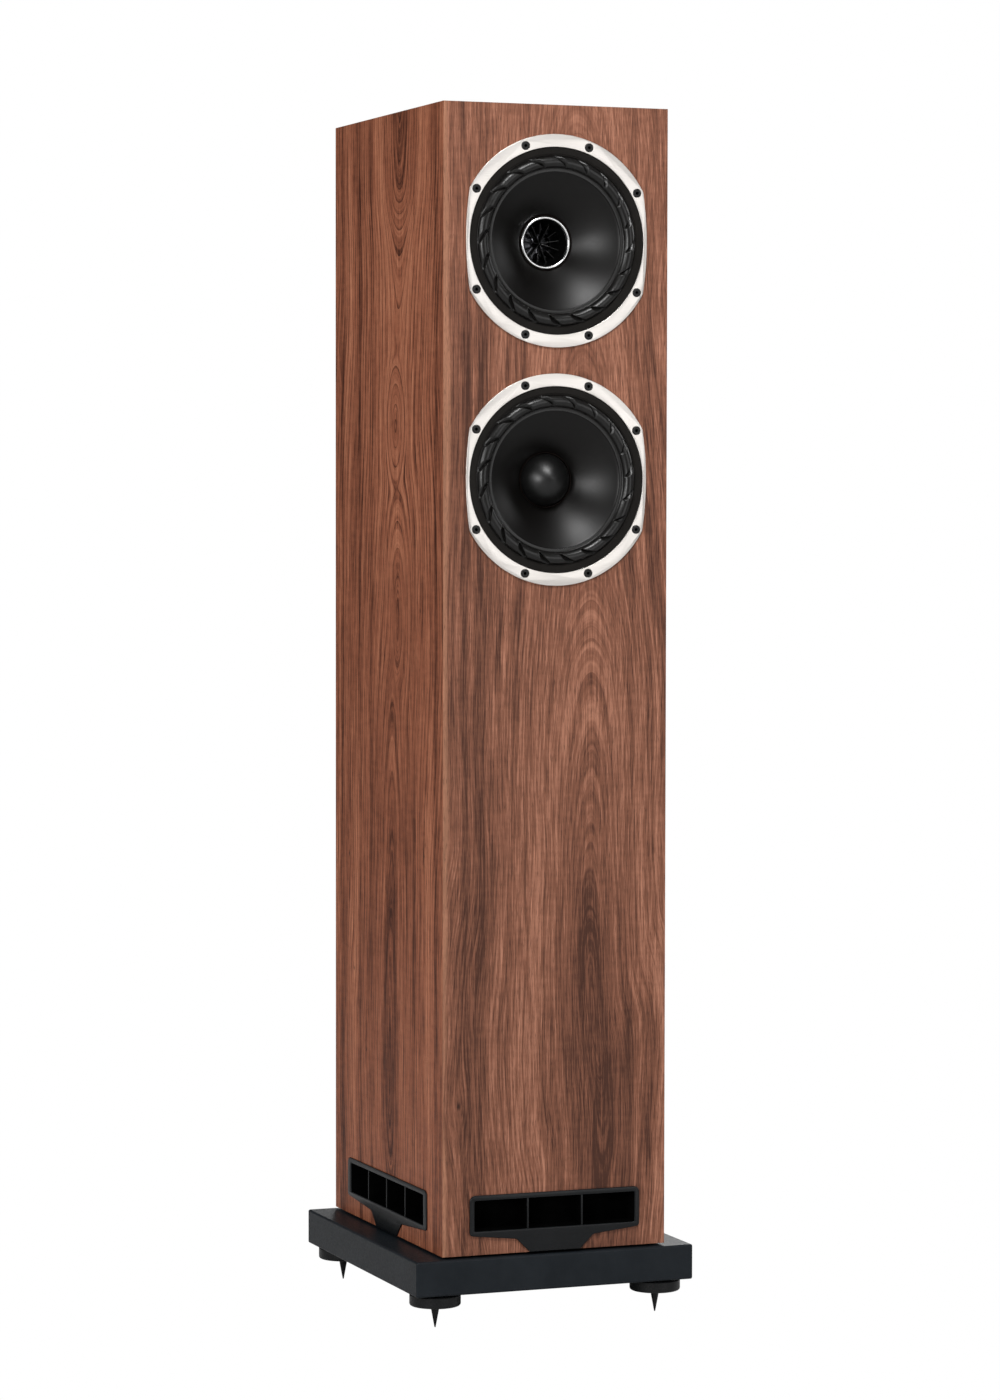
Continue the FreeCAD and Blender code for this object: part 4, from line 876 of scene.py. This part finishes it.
def screws(driver, master):
    for count, (x, z) in enumerate(screw_places(driver_centre(driver))):
        screw = copied(master, f"{driver}_screw_{count + 1}")
        twist = Matrix.Rotation(math.radians(SCREW_TWIST * count), 4, "Y")
        moved(screw, Matrix.Translation((x, 0, z)) @ twist)
        fit(screw, screw_black, "cabinet", "driver_screws", slot="black_screw")


def gasket(driver):
    """A foam ring in two steps, with rounded edges, between the surround and the trim ring."""
    inner, step, outer = GASKET_INNER, GASKET_STEP, GASKET_OUTER
    low, high = GASKET_LOW, GASKET_HIGH
    inner_edge = ((inner + 0.1, low + 0.03), (inner + 0.25, low))
    step_edge = ((step + 0.06, high + 0.04), (step + 0.2, high))
    outer_edge = ((outer - 0.08, high + 0.08), (outer, high + 0.3))
    ring = lathe(driver + "_gasket", profile(
        (inner, 0), (inner, -0.3), inner_edge, (step - 0.2, low), (step, -0.6), (step, -0.75), step_edge,
        (outer - 0.3, high), outer_edge, (outer, 0), arc_steps=3), driver_centre(driver), steps=180)
    return fit(ring, gasket_black, "cabinet", driver + "_gasket_ring", slot="gasket", smooth=40)


def flute_depth(radius, angle):
    """How deep the flute is below the roll at a place in its sector: a scoop with one steep wall."""
    spot = Vector((math.radians(angle) * FLUTE_RADIUS, radius))
    run = FLUTE_INNER_END - FLUTE_OUTER_END
    along = (spot - FLUTE_OUTER_END).dot(run) / run.length_squared
    across = (spot - FLUTE_OUTER_END).dot(Vector((run.y, -run.x)).normalized())
    before, after = along + FLUTE_OVERRUN, 1 + FLUTE_OVERRUN - along
    if before < 0 or after < 0:
        return 0.0
    ends = min(1.0, before / (2 * FLUTE_OVERRUN)) * min(1.0, after / FLUTE_FADE)
    share = min(1.0, max(0.0, before / (1 + 2 * FLUTE_OVERRUN)))
    width = FLUTE_WIDTH * math.sin(math.pi * share) ** 0.6
    if across < 0:
        wall = max(0.0, 1 + across / FLUTE_WALL)
    else:
        wall = max(0.0, 1 - across / max(width, 0.01))
    return FLUTE_DEPTH * ends * wall


def surround_sector(driver):
    """One part in twenty of the roll with its flute, made to the right of the driver's axis."""
    centre = driver_centre(driver)
    half = 180 / FLUTES
    middle_radius = (ROLL_OUTER + ROLL_INNER) / 2
    cone_lip = profile((CONE_LIP[0], 0.0), (CONE_LIP[1], 0.0), ((59.98, -0.2), ROLL_START), arc_steps=4)
    roll = arc(ROLL_START, (middle_radius, -ROLL_HEIGHT), ROLL_END, ROLL_STEPS)
    frame_lip = arc(ROLL_END, (70.42, -0.2), (FRAME_LIP[0], 0.0), 4) + [(FRAME_LIP[1], 0.0)]
    loop = section(cone_lip + roll + frame_lip, centre)
    spun(driver + "_surround", loop, centre, SECTOR_STEPS, 2 * half)
    take_all()
    bpy.ops.mesh.remove_doubles(threshold=1e-6)
    sector = done()
    spots = [vertex.co - centre for vertex in sector.data.vertices]
    turn = half - max(math.degrees(math.atan2(spot.z, spot.x)) for spot in spots)
    moved(sector, turned_about(centre, "Y", -turn))
    for vertex in sector.data.vertices:
        x, z = vertex.co.x - centre.x, vertex.co.z - centre.z
        vertex.co.y += flute_depth(math.hypot(x, z) / MM, math.degrees(math.atan2(z, x))) * MM
    edit(sector, "FACE")
    take_all()
    bpy.ops.mesh.normals_make_consistent(inside=False)
    done()
    if sum(polygon.normal.y for polygon in sector.data.polygons) > 0:
        edit(sector, "FACE")
        take_all()
        bpy.ops.mesh.flip_normals()
        done()
    return modify(sector, "SOLIDIFY", thickness=RUBBER * MM, offset=-1.0)


def surround(driver):
    centre = driver_centre(driver)
    master = surround_sector(driver)
    for count in range(FLUTES):
        angle = FLUTE_PHASE[driver] + count * 360 / FLUTES
        sector = copied(master, f"{driver}_surround_{count + 1}")
        moved(sector, turned_about(centre, "Y", -angle))
        dressed(sector, rubber_black, 50)
        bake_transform(sector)
        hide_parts(driver + "_surround")
    bpy.data.objects.remove(master)


def cone(driver):
    """A thin flared cone with a flat lip, its face and back each one shallow arc."""
    inner = CONE_LIP[0]
    lip_fillet = ((57.35, 1.03), (57.2, 1.12))
    face = ((40.25, 10.84), (CONE_NECK, CONE_NECK_DEPTH))
    back = ((40.75, 11.74), (57.9, CONE_BACK_DEPTH))
    piece = lathe(driver + "_cone_body", profile(
        (CONE_EDGE, CONE_EDGE_DEPTH), (inner, CONE_EDGE_DEPTH), lip_fillet, face, (CONE_NECK, 27.4), back,
        (CONE_EDGE, CONE_BACK_DEPTH), arc_steps=24), driver_centre(driver), steps=180)
    return fit(piece, cone_black, driver + "_diaphragm", driver + "_cone", slot="cone_paper", smooth=40)


def tweeter_ring():
    inner, outer = BRIGHT_RING
    shoulder = BRIGHT_RING_TOP + (outer - inner) / 2
    piece = lathe("tweeter_bright_ring", profile(
        (inner, HORN_MOUTH), (inner, shoulder), (((inner + outer) / 2, BRIGHT_RING_TOP), (outer, shoulder)),
        (outer, HORN_MOUTH), arc_steps=12), driver_centre("upper"), steps=144)
    return fit(piece, ring_bright, "cabinet", "tweeter_ring", slot="polished_ring", smooth=40)


def waveguide():
    """The tweeter's horn wall, a small hub on its axis and blades between them."""
    centre = driver_centre("upper")
    inner, outer = BRIGHT_RING
    flare = ((15.95, 37.0), (inner, HORN_MOUTH))
    wall = lathe("tweeter_horn", profile(
        (outer, HORN_MOUTH), (outer, MOTOR_FACE), (HORN_THROAT, MOTOR_FACE), (HORN_THROAT, HORN_THROAT_DEPTH),
        flare, arc_steps=14), centre, steps=120)
    hub = lathe("hub", profile((0, HUB_TIP), (0.8, HUB_TIP + 0.3), (HUB_RADIUS, HUB_SHOULDER),
                               (HUB_RADIUS, HORN_THROAT_DEPTH), (0, HORN_THROAT_DEPTH)), centre, steps=48)
    parts = [wall, hub]
    for count in range(BLADES):
        tip = SHORT_BLADE if count % 2 else LONG_BLADE
        blade = block("blade", (tip * MM, FRONT + BLADE_FRONT * MM, centre.z - BLADE_HALF * MM),
                      (BLADE_OUTER * MM, FRONT + HORN_THROAT_DEPTH * MM, centre.z + BLADE_HALF * MM))
        for vertex in blade.data.vertices:
            if vertex.co.y < FRONT + 40 * MM and vertex.co.x < (tip + 1) * MM:
                vertex.co.y = FRONT + (HUB_TIP - BLADE_SLOPE * tip) * MM
        bevelled(blade, 0.25)
        parts.append(moved(blade, turned_about(centre, "Y", -(BLADE_TURN + count * 360 / BLADES))))
    piece = joined("tweeter_horn", *parts)
    return fit(piece, horn_black, "cabinet", "tweeter_waveguide", slot="black_moulding", smooth=35)


def plug():
    """A pointed plug with a domed flank, on a straight stem."""
    flank = ((13.64, 12.08), (PLUG_RADIUS, CONE_NECK_DEPTH))
    piece = lathe("pointed_plug", profile(
        (0, PLUG_TIP), (0.35, PLUG_TIP + 0.12), flank, (PLUG_RADIUS, MOTOR_FACE), (0, MOTOR_FACE),
        arc_steps=32), driver_centre("lower"), steps=144)
    return fit(piece, plug_black, "cabinet", "phase_plug", slot="plug", smooth=40)


master_screw = screw_master()
for driver in DRIVERS:
    ring_piece(driver)
    screws(driver, master_screw)
    gasket(driver)
    surround(driver)
    cone(driver)
bpy.data.objects.remove(master_screw)
tweeter_ring()
waveguide()
plug()


# ---------------------------------------------------------------- vent trims

VENT_LOW = 20.0
VENT_HIGH = 45.6
VENT_BAR = 1.7
VENT_WALL = 1.5
WALL = 18.0
# A near-black sheet across the sleeve's inner end, where the vent has only shade: painted shade that hides
# the view through the chamber.
SHADE_SCREEN = 1.2                        # dark screen across the sleeve's inner end
FRAME_LOW = 16.4
FRAME_HIGH = 50.0
TAB_SHOULDER = 11.9
FRAME_CORNERS = (3.0, 5.0, 5.0, 3.0, 4.0, 1.2, 1.2, 4.0)
WINDOW_CORNERS = (1.0,) * 4


def rounded(points, radii, steps=6):
    """A closed outline through (x, z) points in millimetres, its corners rounded."""
    result = []
    count = len(points)
    for i, radius in enumerate(radii):
        here = Vector(points[i])
        before = (Vector(points[i - 1]) - here).normalized()
        after = (Vector(points[(i + 1) % count]) - here).normalized()
        half = before.angle(after) / 2
        first = here + before * radius / math.tan(half)
        last = here + after * radius / math.tan(half)
        through = here + (before + after).normalized() * (radius / math.sin(half) - radius)
        result.append(tuple(first))
        result += arc(tuple(first), tuple(through), tuple(last), steps)
    return result


def slab(name, x, y, z):
    """A block between pairs of limits in millimetres."""
    return block(name, [pair[0] * MM for pair in (x, y, z)], [pair[1] * MM for pair in (x, y, z)])


def vent_trim(name, side, node, half, opening, tab, proud, cells):
    """A moulded frame with its tab below, a sleeve through the wall, and bars across. half, opening and
    tab are half-widths. It is made as if the wall's face were at y = 0 with the cabinet's bottom at
    z = 0, then carried to its side, which is an angle in degrees."""
    top, foot = tab
    border = [(-half, FRAME_LOW), (-half, FRAME_HIGH), (half, FRAME_HIGH), (half, FRAME_LOW),
              (top, TAB_SHOULDER), (foot, 0.0), (-foot, 0.0), (-top, TAB_SHOULDER)]
    window = [(-opening, VENT_LOW), (-opening, VENT_HIGH), (opening, VENT_HIGH), (opening, VENT_LOW)]
    face = plate(name, rounded(border, FRAME_CORNERS), -proud * MM, 0)
    cut(face, plate("hole", rounded(window, WINDOW_CORNERS, 3), -THROUGH, THROUGH))
    bevelled(face, 0.7, segments=3, angle=50)

    def behind(title, grow, y):
        reach = opening + grow
        return slab(title, (-reach, reach), y, (VENT_LOW - grow, VENT_HIGH + grow))

    sleeve = behind("sleeve", VENT_WALL, (-proud * 0.35, WALL))
    cut(sleeve, behind("inside", 0.0, (-100, 100)))
    # The near-black sheet behind the bars is painted shade for the dark inside of the vent.
    shade_screen = behind("shade_screen", VENT_WALL / 2, (WALL - SHADE_SCREEN, WALL - SHADE_SCREEN / 3))
    parts = [face, sleeve, shade_screen]
    pitch = (2 * opening + VENT_BAR) / cells
    for i in range(1, cells):
        x = -opening - VENT_BAR / 2 + pitch * i
        bar = slab("bar", (x - VENT_BAR / 2, x + VENT_BAR / 2), (-proud * 0.7, WALL),
                   (VENT_LOW - 0.7, VENT_HIGH + 0.7))
        parts.append(bevelled(bar, 0.45, segments=3))
    piece = joined(name, *parts)
    # Faces behind the wall's face take the near-black vent material: painted shade for the dark inside of the
    # vent.
    inside = [polygon.index for polygon in piece.data.polygons if polygon.center.y > MM]
    reach = {0: -FRONT, 180: BACK, 90: CABINET_HIGH.x, 270: -CABINET_LOW.x}[side]
    moved(piece, Matrix.Rotation(math.radians(side), 4, "Z") @ Matrix.Translation((0, -reach, BASE)))
    fit(piece, trim_black, "cabinet", node, slot="black_moulding", smooth=40)
    piece.data.materials.append(vent_shade)
    for index in inside:
        piece.data.polygons[index].material_index = 1


for side, name, node in ((0, "front_vent", "vent_trim_front"), (180, "back_vent", "vent_trim_back")):
    vent_trim(name, side, node, half=76.4, opening=72.2, tab=(34.7, 22.6), proud=2.0, cells=3)
for side, name, node in ((270, "left_vent", "vent_trim_left"), (90, "right_vent", "vent_trim_right")):
    vent_trim(name, side, node, half=100.0, opening=92.4, tab=(38.2, 26.0), proud=1.3, cells=4)


# ---------------------------------------------------------------- terminals and wadding

KNOB_BORE = 3.06
KNOB_RIBS = 20


def knob(colour):
    """A turned knob with ribs round it, over its post."""
    node = "terminal_knob_" + colour
    low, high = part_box(node)
    x, z = middle(node).x, middle(node).z
    radius = (high.x - low.x) / 2 / MM
    long = (high.y - low.y) / MM
    collar, groove, grip = radius - 0.5, radius - 1.4, radius - 0.55
    nose = ((radius - 0.8, long - 0.5), (radius - 1.6, long - 0.15))
    body = lathe("knob_" + colour, profile(
        (KNOB_BORE, 0), (radius - 1.2, 0), (collar, 0.6), (collar, 2.2), (groove, 2.8), (groove, 3.6),
        (grip, 4.4), (grip, long - 1.4), nose, (4.0, long), (KNOB_BORE, long), arc_steps=4),
        Vector((x, low.y, z)), steps=72)
    parts = [body]
    for count in range(KNOB_RIBS):
        rib = block("rib", (x + (radius - 1.2) * MM, low.y + 4.6 * MM, z - 0.5 * MM),
                    (x + (radius - 0.1) * MM, high.y - 1.5 * MM, z + 0.5 * MM))
        bevelled(rib, 0.35)
        parts.append(moved(rib, turned_about(Vector((x, 0, z)), "Y", count * 360 / KNOB_RIBS)))
    piece = joined("knob_" + colour, *parts)
    return fit(piece, knob_colours[colour], "knob_" + colour, node, slot="knob_" + colour, smooth=40)


def wadding_pad():
    """A loose pad of fibre behind the drivers, its edges puffed and uneven."""
    low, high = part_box("wadding")
    inset = Vector((0.003,) * 3)
    pad = block("wadding_pad", low + inset, high - inset)
    edit(pad, "FACE")
    take_all()
    bpy.ops.mesh.subdivide(number_cuts=11)
    done()
    modify(pad, "SUBSURF", levels=1, render_levels=1)
    tufts = bpy.data.textures.new("tufts", "CLOUDS")
    tufts.noise_scale = 0.03
    modify(pad, "DISPLACE", texture=tufts, strength=0.005, mid_level=0.5, texture_coords="LOCAL")
    return fit(pad, wadding_white, "cabinet", "wadding", slot="wadding", smooth=80)


for colour in knob_colours:
    knob(colour)
wadding_pad()


# ---------------------------------------------------------------- floor, light and camera

def shown_to_camera(tree, usual, seen, output):
    """One shader for what the camera sees directly, and another for every other ray."""
    choose = tree.nodes.new("ShaderNodeMixShader")
    tree.links.new(tree.nodes.new("ShaderNodeLightPath").outputs["Is Camera Ray"], choose.inputs[0])
    tree.links.new(usual.outputs[0], choose.inputs[1])
    tree.links.new(seen.outputs[0], choose.inputs[2])
    tree.links.new(choose.outputs[0], tree.nodes[output].inputs["Surface"])


def floor():
    deselect()
    bpy.ops.mesh.primitive_plane_add(size=60, location=(0, 0, 0))
    sheet = bpy.context.object
    sheet.name = "floor"
    f = Finish("pale_floor", roughness=0.9, specular=0.1)
    cloud = f.noise(f.scaled(2, 2, 2), 1.0, 2.0, 0.5)
    f.colour(f.ramp(cloud, (0.3, grey(196)), (0.7, grey(204))))
    shown_to_camera(f.tree, f.shader, f.tree.nodes.new("ShaderNodeEmission"), "Material Output")
    sheet.data.materials.append(f.material)


def lamp(name, place, target, wide, tall, power):
    light = bpy.data.lights.new(name, "AREA")
    light.energy = power
    light.shape = "RECTANGLE"
    light.size = wide
    light.size_y = tall
    holder = bpy.data.objects.new(name, light)
    holder.location = place
    holder.rotation_euler = (Vector(target) - Vector(place)).to_track_quat("-Z", "Y").to_euler()
    bpy.context.scene.collection.objects.link(holder)


def studio():
    world = bpy.data.worlds.new("studio")
    world.use_nodes = True
    around = world.node_tree.nodes["Background"]
    seen = world.node_tree.nodes.new("ShaderNodeBackground")
    for background, strength in ((around, 0.10), (seen, 1.0)):
        background.inputs["Color"].default_value = (1, 1, 1, 1)
        background.inputs["Strength"].default_value = strength
    shown_to_camera(world.node_tree, around, seen, "World Output")
    bpy.context.scene.world = world
    chest = (0, 0, 0.75)
    lamp("key_left", (-2.5, -2.3, 1.1), chest, wide=0.7, tall=0.9, power=46)
    lamp("key_top", (-0.15, -1.8, 2.7), chest, wide=0.8, tall=0.8, power=50)
    lamp("front_softbox", (1.55, -3.6, 0.95), (0, 0, 0.8), wide=1.8, tall=2.2, power=26)
    lamp("side_fill", (-3.3, -1.1, 2.0), (0, 0, 0.8), wide=1.0, tall=1.2, power=40)
    lamp("right_fill", (3.4, -0.2, 1.8), (0, 0, 0.6), wide=1.2, tall=1.2, power=26)
    lamp("back_fill", (1.6, 2.6, 1.8), (0, 0, 0.62), wide=1.6, tall=1.6, power=40)


CAMERA_PLACE = (-1.2994, -3.3615, 0.6842)
CAMERA_TURN = (21.18, 2.66, 0.088)  # degrees: to the right of straight in, downwards, and leaning
CAMERA_LENS = 107.52
SENSOR = 36


def camera():
    yaw, pitch, roll = [math.radians(angle) for angle in CAMERA_TURN]
    flat = math.cos(pitch)
    forward = Vector((math.sin(yaw) * flat, math.cos(yaw) * flat, -math.sin(pitch)))
    right = Vector((math.cos(yaw), -math.sin(yaw), 0))
    up = right.cross(forward)
    across = right * math.cos(roll) + up * math.sin(roll)
    above = up * math.cos(roll) - right * math.sin(roll)
    data = bpy.data.cameras.new("camera")
    data.lens = CAMERA_LENS
    data.sensor_width = SENSOR
    data.clip_start = 0.1
    data.clip_end = 100
    holder = bpy.data.objects.new("camera", data)
    turn = Matrix((across, above, -forward)).transposed().to_4x4()
    holder.matrix_world = Matrix.Translation(CAMERA_PLACE) @ turn
    bpy.context.scene.collection.objects.link(holder)
    bpy.context.scene.camera = holder


floor()
studio()
camera()
bpy.context.scene.view_settings.view_transform = "Standard"
